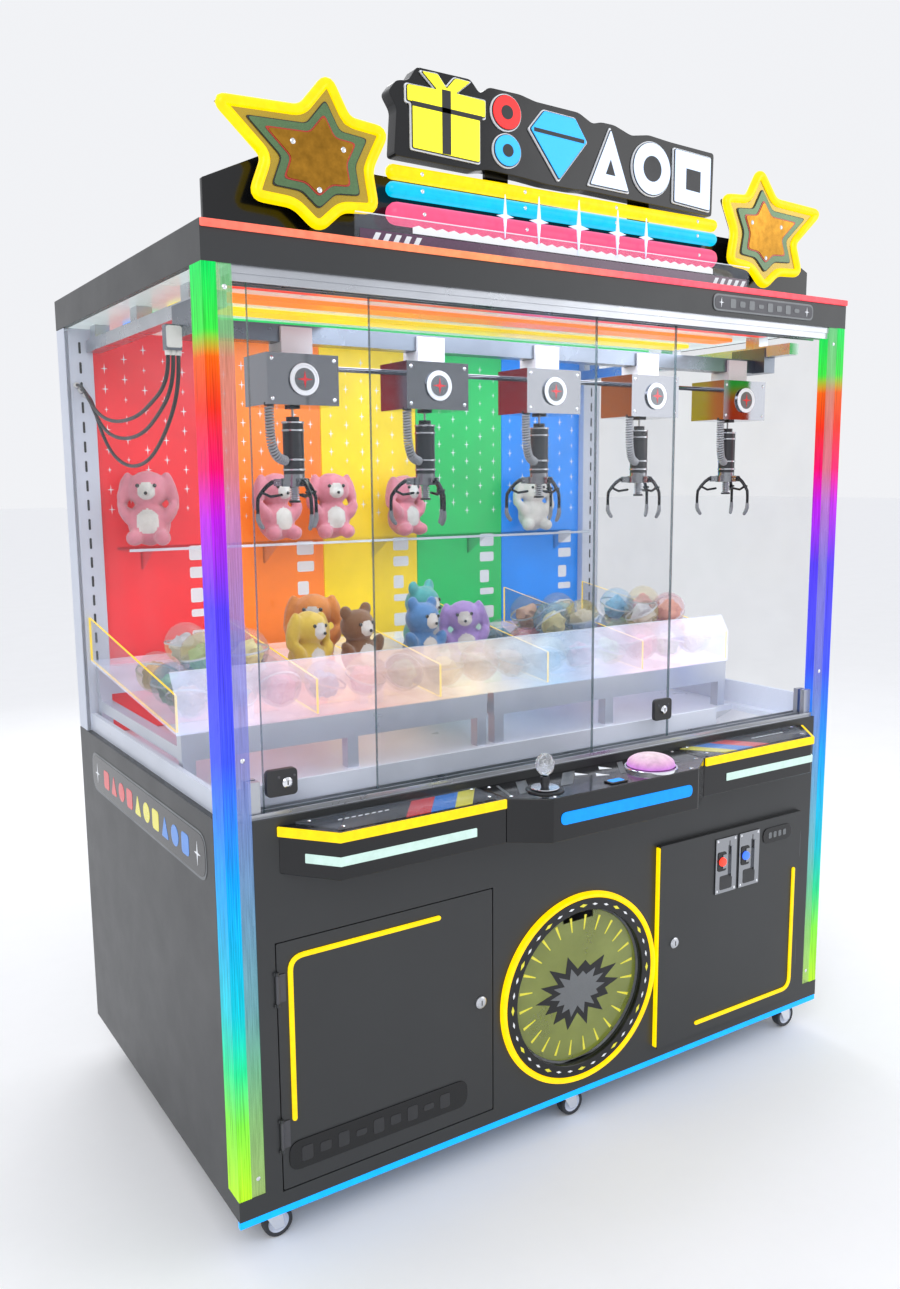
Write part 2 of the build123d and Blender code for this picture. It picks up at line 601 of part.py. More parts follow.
def heap(lane_x):
    """Rows of three capsules, and two more in the hollows between each pair of rows."""
    places = []
    for row in HEAP_ROWS:
        y = TRAY_Y0 + row
        for dx in (-HEAP_STEP, 0, HEAP_STEP):
            places.append((lane_x + dx, y, tray_floor_top(y) + CAPSULE_R + 1))
    for row in HEAP_ROWS[:-1]:
        y = TRAY_Y0 + row + HEAP_STEP / 2
        for dx in (-HEAP_STEP / 2, HEAP_STEP / 2):
            places.append((lane_x + dx, y, tray_floor_top(y) + CAPSULE_R + HEAP_RISE))
    return places


def prizes():
    """Heaps of capsules in three lanes, capsules and plush in two, and toys on the shelf."""
    for k in range(LANES):
        lane_x = TRAY_X0 + (k + 0.5) * LANE
        places = heap(lane_x)
        if k not in HEAP_LANES:
            places = places[:3]
            for row, dx, size in LANE_TOYS:
                y = TRAY_Y0 + row
                add("prizes", plush(lane_x + dx, y, tray_floor_top(y) + 4, size))
        for place in places:
            add("prizes", Pos(*place) * Sphere(CAPSULE_R))
    for x, size in SHELF_TOYS:
        add("prizes", plush(x, BACK - 96, SHELF_Z + 4, size))


# ---- gantry and claws ---------------------------------------------------------------

def gantry_rails():
    """Two front-back rails hung from the ceiling."""
    for side in (-1, 1):
        x0, x1 = side * (RAIL_X - 15), side * (RAIL_X + 15)
        add("gantry_rails", block(x0, x1, FRONT + 90, BACK - 66, RAIL_Z0, RAIL_Z1))
        for y in (FRONT + 200, FRONT + 484, FRONT + 768):
            add("gantry_rails", block(x0, x1, y - 20, y + 20, RAIL_Z1, ROOF_Z))


def gantry_bridge():
    """Cross beam with an end truck on each rail and the cable connector on the left."""
    add("gantry_bridge", block(-672, 672, CLAW_Y - 20, CLAW_Y + 20, BEAM_Z0, BEAM_Z1))
    for side in (-1, 1):
        add("gantry_bridge",
            block(side * 672, side * 708, CLAW_Y - 50, CLAW_Y + 50, BEAM_Z0, RAIL_Z0 - 0.5),
            block(side * 705.5, side * 708, CLAW_Y - 50, CLAW_Y + 50, RAIL_Z0 - 0.5, 1646),
            block(side * 672, side * 674.5, CLAW_Y - 50, CLAW_Y + 50, RAIL_Z0 - 0.5, 1646))
    add("gantry_bridge",
        block(-735, -708, CLAW_Y + 4, CLAW_Y + 24, BEAM_Z0 - 22, BEAM_Z0 + 20))


def claw_x(i):
    return CLAW_X0 + i * CLAW_PITCH


def winch_boxes():
    """Five winch housings with trolleys that clasp the beam, joined by a tie rod."""
    for i in range(CLAWS):
        x = claw_x(i)
        add("winch_boxes",
            block(x - 69, x + 69, CLAW_Y - 50, CLAW_Y + 50, WINCH_Z0, WINCH_Z1),
            block(x - 30, x + 30, CLAW_Y - 27, CLAW_Y + 27, WINCH_Z1, BEAM_Z0 - 0.5),
            block(x - 30, x + 30, CLAW_Y - 27, CLAW_Y - 20.5, BEAM_Z0 - 0.5, BEAM_Z1 - 4),
            block(x - 30, x + 30, CLAW_Y + 20.5, CLAW_Y + 27, BEAM_Z0 - 0.5, BEAM_Z1 - 4),
            rod(x, CLAW_Y - 54, (WINCH_Z0 + WINCH_Z1) / 2, 28, 4, "Y"))
        if i < CLAWS - 1:
            add("winch_boxes", rod(x + 69, CLAW_Y + 36, WINCH_Z1 - 14, 5, CLAW_PITCH - 138, "X"))


def claw_heads():
    """Coil housing, hub with three pairs of lugs, and the plunger rod, for each claw."""
    for i in range(CLAWS):
        head = rod(0, 0, HEAD_Z, 19, HEAD_TOP - HEAD_Z - 8)
        head += rod(0, 0, HEAD_TOP - 8, 12, 8)
        head += rod(0, 0, HUB_Z, 24, HEAD_Z - HUB_Z)
        head += rod(0, 0, HUB_Z - 26, 5, 26)
        for azimuth in FINGER_AZIMUTHS:
            for side in (-1, 1):
                lug = block(20, FINGER_PIVOT_R + 5, side * 4.4, side * 7.4, HUB_Z + 1, HEAD_Z - 1)
                lug -= rod(FINGER_PIVOT_R, -9, HUB_Z + 7, 2.05, 18, "Y")
                head += Rot(0, 0, azimuth) * lug
        add("claw_heads", Pos(claw_x(i), CLAW_Y, 0) * head)


FINGER_AZIMUTHS = (-90, 30, 150)
FINGER_PIVOT_R = 32.0
FINGER_W = 8.0
# side view of a finger, radius from the claw's middle and height below the pivot
ARM = [(27, 5), (40, 5), (72, -26), (64, -34), (34, -6), (27, -5)]
SHIN = [(64, -34), (72, -26), (72, -62), (64, -62)]
TIP = [(64, -62), (72, -62), (66, -84), (52, -84)]


def finger(i, azimuth):
    """Arm with its pin, shin and grey tip of one finger, as three touching solids."""
    z = HUB_Z + 7
    place = Pos(claw_x(i), CLAW_Y, 0) * Rot(0, 0, azimuth)
    pieces = []
    for outline in (ARM, SHIN, TIP):
        points = [(r, -FINGER_W / 2, z + dz) for r, dz in outline]
        pieces.append(prism(points, (0, FINGER_W, 0)))
    pieces[0] += rod(FINGER_PIVOT_R, -7.2, z, 1.95, 14.4, "Y")
    return [place * piece for piece in pieces]


def fingers():
    """The five front fingers share one hinge line, so they are one node."""
    for i in range(CLAWS):
        add("front_claw_fingers", *finger(i, FINGER_AZIMUTHS[0]))
        add(f"right_finger_{i + 1}", *finger(i, FINGER_AZIMUTHS[1]))
        add(f"left_finger_{i + 1}", *finger(i, FINGER_AZIMUTHS[2]))


# ---- cords --------------------------------------------------------------------------

# route of a curly cord: radius from the claw's middle and height
CURLY_ROUTE = [(70, 1480), (70, 1446), (67, 1412), (50, 1386), (21.5, 1384)]
CURLY_AZIMUTH = 210
# routes of the three supply cables: depth and height, each at its own x
CABLE_X = (-730, -721, -712)
CABLE_ROUTES = (
    [(455, 1556), (413, 1556), (350, 1512), (275, 1480), (190, 1466), (105, 1464), (20, 1470),
     (-58, 1489), (-120, 1508), (-151, 1540), (-151, 1566.5)],
    [(455, 1546), (415, 1546), (352, 1490), (278, 1450), (193, 1434), (106, 1431), (20, 1440),
     (-58, 1466), (-122, 1496), (-151, 1536), (-151, 1566.5)],
    [(455, 1536), (416, 1536), (358, 1466), (288, 1412), (204, 1384), (116, 1377), (28, 1389),
     (-52, 1426), (-120, 1476), (-151, 1528), (-151, 1566.5)],
)


def cords():
    """Hoist lines, curly cords and supply cables."""
    for i in range(CLAWS):
        add("hoist_lines", rod(claw_x(i), CLAW_Y, HEAD_TOP, 2, WINCH_Z0 - HEAD_TOP))
        turn = radians(CURLY_AZIMUTH)
        route = [(claw_x(i) + r * cos(turn), CLAW_Y + r * sin(turn), z) for r, z in CURLY_ROUTE]
        add("curly_cords", cord_tube(route, CURLY_D, "curly cord"))
    for x, route in zip(CABLE_X, CABLE_ROUTES):
        add("gantry_cables", cord_tube([(x, y, z) for y, z in route], CABLE_D, "cable"))


# ---- casters ------------------------------------------------------------------------

CASTER_NAMES = ("left", "middle", "right")


def casters():
    """Six swivel casters: fork with a brake lever, and a wheel on its axle."""
    for row, y in zip(("front", "rear"), CASTER_Y):
        for name, x in zip(CASTER_NAMES, CASTER_X):
            fork = f"{row}_{name}_caster_fork"
            wheel = f"{row}_{name}_caster_wheel"
            wx = x + CASTER_TRAIL
            add(fork, rod(x, y, BASE_Z - 4 - RUN_GAP - 12, 24, 12))
            crown = BASE_Z - 4 - RUN_GAP - 12
            for side in (-1, 1):
                cheek = [(x - 20, crown), (x + 22, crown), (wx + 9, WHEEL_R - 8),
                         (wx - 9, WHEEL_R - 8)]
                y0 = y + side * (WHEEL_W / 2 + 1.5)
                add(fork, front_prism(cheek, y0, y0 + side * 3))
            add(fork, rod(wx, y - WHEEL_W / 2 - 1.5, WHEEL_R, 4, WHEEL_W + 3, "Y"))
            lever = [(wx - 6, 62), (wx - 6, 58.5), (wx + 30, 58.5), (wx + 40, 46), (wx + 44, 48),
                     (wx + 32, 62)]
            add(fork, front_prism(lever, y - WHEEL_W / 2 - 1.5, y + WHEEL_W / 2 + 1.5))
            disc = rod(wx, y - WHEEL_W / 2, WHEEL_R, WHEEL_R, WHEEL_W, "Y")
            add(wheel, disc - rod(wx, y - 20, WHEEL_R, 4.06, 40, "Y"))


def build():
    base_frame()
    cabinet_panels()
    front_panel()
    play_deck()
    prize_chute()
    electronics()
    corner_columns()
    side_glass()
    back_wall()
    roof()
    marquee()
    door_tracks()
    glass_doors()
    service_door()
    coin_door()
    prize_flap()
    prize_door_ring()
    control_console()
    joystick()
    push_button()
    light_strips()
    prize_tray()
    tray_stand()
    prizes()
    gantry_rails()
    gantry_bridge()
    winch_boxes()
    claw_heads()
    fingers()
    cords()
    casters()
    os.makedirs("parts", exist_ok=True)
    for node, solids in parts.items():
        flat = [s for shape in solids for s in shape.solids()]
        export_step(Compound(children=flat), f"parts/{node}.step")
    print(len(parts), "nodes")


build()
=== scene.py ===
import bpy
import bmesh
import random
from math import atan2, cos, hypot, pi, radians, sin, sqrt
from mathutils import Matrix, Vector, noise


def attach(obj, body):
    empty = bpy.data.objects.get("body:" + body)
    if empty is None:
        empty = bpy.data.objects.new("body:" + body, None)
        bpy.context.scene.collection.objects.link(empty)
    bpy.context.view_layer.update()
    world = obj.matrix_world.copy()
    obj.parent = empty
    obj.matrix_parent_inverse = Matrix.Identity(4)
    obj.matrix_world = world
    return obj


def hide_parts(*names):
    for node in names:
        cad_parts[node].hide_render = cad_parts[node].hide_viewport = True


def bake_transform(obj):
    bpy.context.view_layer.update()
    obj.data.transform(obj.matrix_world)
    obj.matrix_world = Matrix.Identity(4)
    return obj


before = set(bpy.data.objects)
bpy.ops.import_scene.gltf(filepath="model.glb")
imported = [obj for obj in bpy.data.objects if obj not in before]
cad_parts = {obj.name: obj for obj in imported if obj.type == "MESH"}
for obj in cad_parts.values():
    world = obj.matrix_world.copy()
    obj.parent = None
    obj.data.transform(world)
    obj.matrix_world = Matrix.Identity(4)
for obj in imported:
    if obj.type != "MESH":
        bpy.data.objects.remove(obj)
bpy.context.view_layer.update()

# Lengths below are millimetres in the frame of the CAD model; MM turns them into metres.
MM = 0.001
HALF = 750.0
FRONT, BACK = -375.0, 515.0
BASE_Z, SILL_Z, ROOF_Z, ROOF_TOP = 90.0, 795.0, 1675.0, 1736.0
PLINTH_TOP = 128.0
DECK_TOP = 780.0
FLAP_Z = 316.0
CLAW_Y = FRONT + 210
CLAW_XS = [-510.0 + 280.0 * i for i in range(5)]
PIVOT_Z = 1345.0
TRAY_X0, LANE, LANES = -733.0, 285.0, 5
TRAY_Y0, TRAY_Y1 = FRONT + 262, FRONT + 828
TRAY_Z0, TRAY_Z1, TRAY_T = 892.0, 950.0, 5.0
JOY_X, JOY_Y = -160.0, FRONT - 84
BUTTON_X, BUTTON_Y = 105.0, FRONT - 84
CONSOLE_TOP, CONSOLE_BOTTOM = 780.0, 697.0
WING_REACH = 88.0
WING_X = (250.0, 585.0, 656.0)
NOSE = FRONT - 138.0
CABINET = "cabinet"

# ---- camera -----------------------------------------------------------------------------

CAMERA_AT = (-1.3542, -1.9826, 1.3473)
YAW, PITCH, ROLL = radians(32.96), radians(8.668), radians(-0.461)
LENS_MM, SENSOR_MM = 43.13, 36.0


def make_camera():
    forward = Vector((sin(YAW) * cos(PITCH), cos(YAW) * cos(PITCH), -sin(PITCH)))
    right = Vector((cos(YAW), -sin(YAW), 0.0))
    up = right.cross(forward)
    right, up = right * cos(ROLL) + up * sin(ROLL), up * cos(ROLL) - right * sin(ROLL)
    data = bpy.data.cameras.new("camera")
    data.sensor_fit = "HORIZONTAL"
    data.sensor_width = SENSOR_MM
    data.lens = LENS_MM
    camera = bpy.data.objects.new("camera", data)
    turn = Matrix((right, up, -forward)).transposed().to_4x4()
    camera.matrix_world = Matrix.Translation(CAMERA_AT) @ turn
    bpy.context.scene.collection.objects.link(camera)
    bpy.context.scene.camera = camera


make_camera()

# ---- materials --------------------------------------------------------------------------


class Nodes:
    """A material's node tree with short calls."""

    def __init__(self, name):
        self.material = bpy.data.materials.new(name)
        self.material.use_nodes = True
        self.tree = self.material.node_tree
        self.shader = self.tree.nodes["Principled BSDF"]
        coords = self.tree.nodes.new("ShaderNodeTexCoord")
        self.object = coords.outputs["Object"]

    def new(self, kind, **settings):
        node = self.tree.nodes.new(kind)
        for key, value in settings.items():
            setattr(node, key, value)
        return node

    def link(self, a, b):
        self.tree.links.new(a, b)

    def set(self, name, value):
        self.shader.inputs[name].default_value = value

    def noise(self, scale, detail=3.0, stretch=(1, 1, 1), rough=0.6):
        mapping = self.new("ShaderNodeMapping")
        mapping.inputs["Scale"].default_value = stretch
        self.link(self.object, mapping.inputs["Vector"])
        node = self.new("ShaderNodeTexNoise")
        node.inputs["Scale"].default_value = scale
        node.inputs["Detail"].default_value = detail
        node.inputs["Roughness"].default_value = rough
        self.link(mapping.outputs["Vector"], node.inputs["Vector"])
        return node.outputs["Fac"]

    def ramp(self, factor, stops, smooth="LINEAR"):
        node = self.new("ShaderNodeValToRGB")
        node.color_ramp.interpolation = smooth
        elements = node.color_ramp.elements
        while len(elements) < len(stops):
            elements.new(0.5)
        for element, (at, colour) in zip(elements, stops):
            element.position = at
            element.color = (*colour, 1.0)
        self.link(factor, node.inputs["Fac"])
        return node.outputs["Color"]

    def span(self, value, low, high, out_low=0.0, out_high=1.0):
        node = self.new("ShaderNodeMapRange")
        for key, number in (("From Min", low), ("From Max", high), ("To Min", out_low),
                            ("To Max", out_high)):
            node.inputs[key].default_value = number
        self.link(value, node.inputs["Value"])
        return node.outputs["Result"]

    def axis(self, name):
        node = self.new("ShaderNodeSeparateXYZ")
        self.link(self.object, node.inputs["Vector"])
        return node.outputs[name]

    def multiply(self, a, b):
        node = self.new("ShaderNodeMix", data_type="RGBA", blend_type="MULTIPLY")
        node.inputs[0].default_value = 1.0
        self.link(a, node.inputs[6])
        self.link(b, node.inputs[7])
        return node.outputs[2]

    def bump(self, height, strength, distance):
        node = self.new("ShaderNodeBump")
        node.inputs["Strength"].default_value = strength
        node.inputs["Distance"].default_value = distance
        self.link(height, node.inputs["Height"])
        self.link(node.outputs["Normal"], self.shader.inputs["Normal"])


def shade(colour, factor):
    return tuple(min(1.0, c * factor) for c in colour)


def surface(name, colour, rough=0.5, metal=0.0, grain=450.0, depth=0.0002, vary=0.12,
            stretch=(1, 1, 1), coat=0.0, alpha=1.0, glow=0.0, smudge=0.08):
    """Paint, plastic or metal with fine grain, faint clouding and uneven gloss."""
    n = Nodes(name)
    cloud = n.noise(4.0, 4.0)
    fine = n.noise(grain, 4.0, stretch)
    base = n.ramp(cloud, [(0.3, shade(colour, 1 - vary)), (0.7, shade(colour, 1 + vary))])
    speck = n.ramp(fine, [(0.3, (1 - vary,) * 3), (0.7, (1.0, 1.0, 1.0))])
    both = n.multiply(base, speck)
    n.link(both, n.shader.inputs["Base Color"])
    n.link(n.span(n.noise(11.0, 5.0), 0.3, 0.7, max(rough - smudge, 0.02), rough + smudge),
           n.shader.inputs["Roughness"])
    n.set("Metallic", metal)
    n.set("Coat Weight", coat)
    n.set("Coat Roughness", 0.06)
    n.set("Alpha", alpha)
    # glow emits the base colour; on a part that is no lamp, such as the white deck paint, this is
    # painted glow.
    if glow:
        n.link(both, n.shader.inputs["Emission Color"])
        n.set("Emission Strength", glow)
    n.bump(fine, 0.5, depth)
    return n.material


def clear(name, colour, alpha, rough=0.04, glow=0.0, lit=None):
    """Clear or tinted sheet: thin, glossy, with faint smears; with lit stops it also glows in
    colours along X, a painted reflection and painted glow.
    """
    n = Nodes(name)
    smear = n.noise(7.0, 5.0, (1, 1, 2.5))
    n.link(n.ramp(smear, [(0.3, shade(colour, 0.92)), (0.7, colour)]),
           n.shader.inputs["Base Color"])
    n.link(n.span(smear, 0.35, 0.7, rough, rough + 0.07), n.shader.inputs["Roughness"])
    n.link(n.span(n.noise(9.0, 5.0), 0.35, 0.75, alpha * 0.8, alpha * 1.25),
           n.shader.inputs["Alpha"])
    n.set("Coat Weight", 0.6)
    if glow:
        n.set("Emission Color", (*colour, 1.0))
        n.set("Emission Strength", glow)
    # lit: painted reflection and painted glow, emitted in colours along X and dimmed by the smears;
    # the sheet is no lamp.
    if lit:
        painted_reflection_along = n.ramp(n.span(n.axis("X"), -0.75, 0.75), lit)
        n.link(n.multiply(painted_reflection_along, n.ramp(smear, [(0.3, (0.6,) * 3), (0.7, (1.0,) * 3)])),
               n.shader.inputs["Emission Color"])
        n.set("Emission Strength", 1.35)
    n.bump(n.noise(60.0, 2.0), 0.04, 0.0004)
    return n.material


def neon(name, stops, strength, axis=None, low=0.0, high=1.0, streaks=(1, 1, 1), depth=0.25):
    """Lit diffuser: colour along an axis or one colour, with the lamps' faint beads."""
    n = Nodes(name)
    where = n.span(n.axis(axis), low, high) if axis else n.noise(6.0, 2.0)
    colour = n.ramp(where, stops)
    bead = n.ramp(n.noise(60.0, 3.0, streaks), [(0.3, (1 - depth,) * 3), (0.68, (1.0, 1.0, 1.0))])
    lit = n.multiply(colour, bead)
    dim = n.ramp(bead, [(0.0, (0.02, 0.02, 0.02)), (1.0, (0.10, 0.10, 0.10))])
    n.link(n.multiply(lit, dim), n.shader.inputs["Base Color"])
    n.link(lit, n.shader.inputs["Emission Color"])
    n.set("Emission Strength", strength)
    n.set("Specular IOR Level", 0.25)
    n.link(n.span(bead, 0.0, 1.0, 0.45, 0.3), n.shader.inputs["Roughness"])
    n.bump(n.noise(300.0, 2.0), 0.1, 0.0001)
    return n.material


def plain_neon(name, colour, strength, depth=0.12):
    return neon(name, [(0.2, shade(colour, 0.9)), (0.8, colour)], strength, depth=depth)


def fabric(name, colour, pile=900.0):
    """Short-pile plush: tufts, faint patches and a soft sheen."""
    n = Nodes(name)
    tuft = n.noise(pile, 5.0, rough=0.75)
    patch = n.noise(22.0, 3.0)
    base = n.ramp(patch, [(0.3, shade(colour, 0.82)), (0.7, shade(colour, 1.08))])
    n.link(n.multiply(base, n.ramp(tuft, [(0.3, (0.72,) * 3), (0.7, (1.0,) * 3)])),
           n.shader.inputs["Base Color"])
    n.link(n.span(tuft, 0.3, 0.7, 0.95, 0.75), n.shader.inputs["Roughness"])
    n.set("Sheen Weight", 0.55)
    n.set("Sheen Roughness", 0.4)
    n.bump(tuft, 0.9, 0.0016)
    return n.material


CHARCOAL = surface("charcoal_paint", (0.032, 0.034, 0.036), 0.38, 0.2, 900.0, 0.00012, 0.05,
                   smudge=0.03)
DARK_STEEL = surface("dark_steel", (0.10, 0.10, 0.11), 0.5, 0.6)
# White deck paint with glow=0.06: a faint painted glow standing in for the light inside the
# cabinet; the deck is no lamp.
WHITE_PAINTED_GLOW = surface("white_paint", (0.66, 0.70, 0.80), 0.35, 0.0, 400.0, 0.0001, 0.05, glow=0.06)
POST_WHITE = surface("post_white", (0.60, 0.64, 0.74), 0.4, 0.0, 400.0, 0.0001, 0.06)
CHUTE = surface("chute_plastic", (0.66, 0.68, 0.72), 0.45, 0.0)
BOARD_GREEN = surface("electronics_case", (0.16, 0.24, 0.20), 0.5, 0.3)
BLACK_GLOSS = surface("gloss_black", (0.006, 0.0065, 0.008), 0.16, 0.0, 900.0, 0.00005, 0.2,
                      coat=0.25, smudge=0.05)
BLACK_GLOSS.node_tree.nodes["Principled BSDF"].inputs["Specular IOR Level"].default_value = 0.3
BLACK = surface("black_plastic", (0.020, 0.021, 0.024), 0.4, 0.0, 1200.0, 0.0002, 0.2)
BADGE_GREY = surface("badge_grey", (0.16, 0.17, 0.18), 0.35, 0.3)
CHROME = surface("chrome", (0.78, 0.80, 0.84), 0.10, 1.0, 300.0, 0.00005, 0.05, smudge=0.05)
DARK_CHROME = surface("dark_chrome", (0.30, 0.31, 0.33), 0.16, 1.0, 300.0, 0.00005, 0.05)
STEEL = surface("brushed_steel", (0.60, 0.62, 0.66), 0.28, 1.0, 250.0, 0.0001, 0.10,
                (1, 40, 40))
BEAM = surface("dark_beam", (0.20, 0.22, 0.26), 0.3, 1.0, 250.0, 0.0001, 0.10, (1, 40, 40))
STEEL_Y = surface("brushed_rail", (0.60, 0.62, 0.66), 0.28, 1.0, 250.0, 0.0001, 0.10,
                  (40, 1, 40))
ALUMINIUM = surface("anodised_aluminium", (0.50, 0.52, 0.56), 0.32, 0.9, 220.0, 0.0001, 0.08,
                    (1, 30, 30))
STAND = surface("stand_aluminium", (0.66, 0.69, 0.76), 0.35, 0.8, 220.0, 0.0001, 0.08,
                (1, 30, 30))
LINE = surface("steel_line", (0.45, 0.45, 0.47), 0.35, 1.0, 900.0, 0.0003, 0.3, (1, 1, 4))
RUBBER = surface("rubber", (0.035, 0.036, 0.04), 0.6, 0.0, 1500.0, 0.0003, 0.25)
TIP_GREY = surface("tip_rubber", (0.22, 0.23, 0.25), 0.55, 0.0, 1500.0, 0.0003, 0.15)
CURLY = surface("curly_cord_grey", (0.34, 0.35, 0.37), 0.42, 0.0, 1500.0, 0.0001, 0.08)
CABLE = surface("cable_jacket", (0.022, 0.022, 0.024), 0.38, 0.0, 1500.0, 0.0001, 0.2)
CONNECTOR = surface("connector_white", (0.75, 0.75, 0.73), 0.4, 0.0)
GLASS = clear("door_glass", (0.06, 0.09, 0.11), 0.06)
GLASS_EDGE = surface("glass_edge", (0.10, 0.16, 0.18), 0.15, 0.0, 200.0, 0.0002, 0.3, alpha=0.8)
ACRYLIC = clear("clear_acrylic", (0.42, 0.48, 0.58), 0.10, 0.04)
# Milky tray acrylic: the lit stops are painted reflections of the coloured back panels, with a
# painted glow for the light inside the cabinet.
MILKY_PAINTED_GLOW = clear("tray_acrylic", (0.62, 0.66, 0.80), 0.30, 0.10,
              lit=[(0.0, (0.45, 0.55, 0.75)), (0.25, (0.9, 0.42, 0.35)), (0.45, (0.95, 0.75, 0.45)),
                   (0.6, (0.40, 0.65, 0.90)), (0.8, (0.85, 0.55, 0.60)), (1.0, (0.5, 0.6, 0.8))])
# Edges of acrylic sheets, light and faintly glowing: a painted glow standing in for light caught
# along the edges; no lamp is there.
ACRYLIC_EDGE_PAINTED_GLOW = surface("acrylic_edge", (0.80, 0.86, 0.95), 0.25, 0.0, 300.0, 0.0001, 0.05,
                       alpha=0.6, glow=0.12)
EDGE_YELLOW = plain_neon("edge_lit_yellow", (1.0, 0.70, 0.04), 1.3)
YELLOW = plain_neon("neon_yellow", (1.0, 0.70, 0.0), 1.35)
RING_YELLOW = plain_neon("ring_yellow", (1.0, 0.62, 0.0), 1.55)
MINT = plain_neon("strip_mint", (0.66, 0.90, 0.84), 1.1)
BLUE_BAR = plain_neon("bar_blue", (0.0, 0.30, 1.0), 1.4)
CYAN_STRIP = plain_neon("base_cyan", (0.0, 0.36, 1.0), 1.7)
CYAN_TUBE = plain_neon("tube_cyan", (0.0, 0.50, 0.75), 1.4)
PINK_TUBE = plain_neon("tube_pink", (0.85, 0.09, 0.22), 1.35)
RED_LAMP = plain_neon("coin_red", (1.0, 0.05, 0.03), 2.2)
BLUE_LAMP = plain_neon("coin_blue", (0.05, 0.15, 1.0), 2.2)
PRINT_WHITE = surface("print_white", (0.85, 0.88, 0.92), 0.4, 0.0, 500.0, 0.00005, 0.04)
PRINT_RED = surface("print_red", (0.75, 0.03, 0.04), 0.3, 0.0, 500.0, 0.00005, 0.06, coat=0.5)
PRINT_BLUE = surface("print_blue", (0.01, 0.22, 0.75), 0.3, 0.0, 500.0, 0.00005, 0.06, coat=0.5)
PRINT_YELLOW = surface("print_yellow", (0.85, 0.78, 0.03), 0.3, 0.0, 500.0, 0.00005, 0.06,
                       coat=0.5)
SIGN_YELLOW = surface("sign_yellow", (0.92, 0.85, 0.02), 0.35, 0.0, glow=0.55, vary=0.05)
SIGN_RED = surface("sign_red", (0.85, 0.02, 0.02), 0.35, 0.0, glow=0.5, vary=0.05)
SIGN_BLUE = surface("sign_blue", (0.02, 0.40, 0.92), 0.35, 0.0, glow=0.5, vary=0.05)
SIGN_PALE = surface("sign_pale", (0.62, 0.74, 0.95), 0.35, 0.0, glow=0.45, vary=0.05)
OCHRE = surface("star_ochre", (0.50, 0.34, 0.02), 0.2, 0.5, coat=0.5, vary=0.15)
STAR_GREEN = surface("star_green", (0.10, 0.20, 0.08), 0.25, 0.4, coat=0.5, vary=0.25)
STAR_RED = surface("star_red", (0.45, 0.03, 0.01), 0.3, 0.2, coat=0.5)
STAR_MIRROR = surface("star_mirror", (0.50, 0.24, 0.03), 0.10, 1.0, 60.0, 0.0004, 0.35,
                      smudge=0.04)
FLAP = clear("flap_tint", (0.22, 0.26, 0.04), 0.82, 0.10)
CRYSTAL = clear("crystal", (0.92, 0.95, 1.0), 0.9, 0.03)
CRYSTAL.node_tree.nodes["Principled BSDF"].inputs["Transmission Weight"].default_value = 0.85
PEARL = neon("button_pearl", [(0.0, (0.75, 0.25, 0.9)), (0.5, (0.95, 0.55, 0.85)),
                              (1.0, (1.0, 0.80, 0.90))], 0.9, "Z", 0.788, 0.811)

COLUMN_STOPS = [(0.0, (0.50, 0.95, 0.02)), (0.09, (0.22, 0.90, 0.06)), (0.15, (0.02, 0.80, 0.30)),
                (0.22, (0.0, 0.62, 0.75)), (0.37, (0.0, 0.38, 1.0)), (0.50, (0.05, 0.10, 1.0)),
                (0.66, (0.10, 0.05, 1.0)), (0.75, (0.55, 0.01, 0.85)), (0.80, (0.95, 0.0, 0.16)),
                (0.86, (0.95, 0.03, 0.01)), (0.91, (0.95, 0.12, 0.0)), (0.935, (0.04, 0.80, 0.06)),
                (1.0, (0.0, 0.80, 0.12))]
COLUMN = neon("column_light", COLUMN_STOPS, 1.25, "Z", 0.128, 1.675, (9, 9, 0.15), 0.5)
FIN = neon("column_fin", [(at, tuple(0.30 + 0.70 * c for c in colour)) for at, colour in
                          COLUMN_STOPS], 0.8, "Z", 0.128, 1.675, (9, 9, 0.2), 0.5)
FIN.node_tree.nodes["Principled BSDF"].inputs["Alpha"].default_value = 0.55
CANOPY_STRIP = neon("canopy_strip", [(0.0, (1.0, 0.16, 0.12)), (0.35, (1.0, 0.30, 0.12)),
                                     (0.6, (1.0, 0.10, 0.16)), (1.0, (1.0, 0.08, 0.10))],
                    1.5, "X", -0.75, 0.75)
PANEL_COLOURS = [(0.80, 0.03, 0.04), (0.90, 0.22, 0.03), (0.85, 0.62, 0.02), (0.02, 0.50, 0.12),
                 (0.01, 0.25, 0.85)]
PANELS = [surface(f"back_panel_{k + 1}", c, 0.35, 0.0, 300.0, 0.0001, 0.14, glow=0.28)
          for k, c in enumerate(PANEL_COLOURS)]
BARS = [surface(f"ceiling_bar_{k + 1}", c, 0.35, 0.0, 300.0, 0.0001, 0.08, glow=0.8)
        for k, c in enumerate(PANEL_COLOURS)]
CEILING = surface("ceiling_panel", (0.70, 0.80, 0.78), 0.22, 0.0, 300.0, 0.0001, 0.08, glow=0.35)

# ---- meshes -----------------------------------------------------------------------------


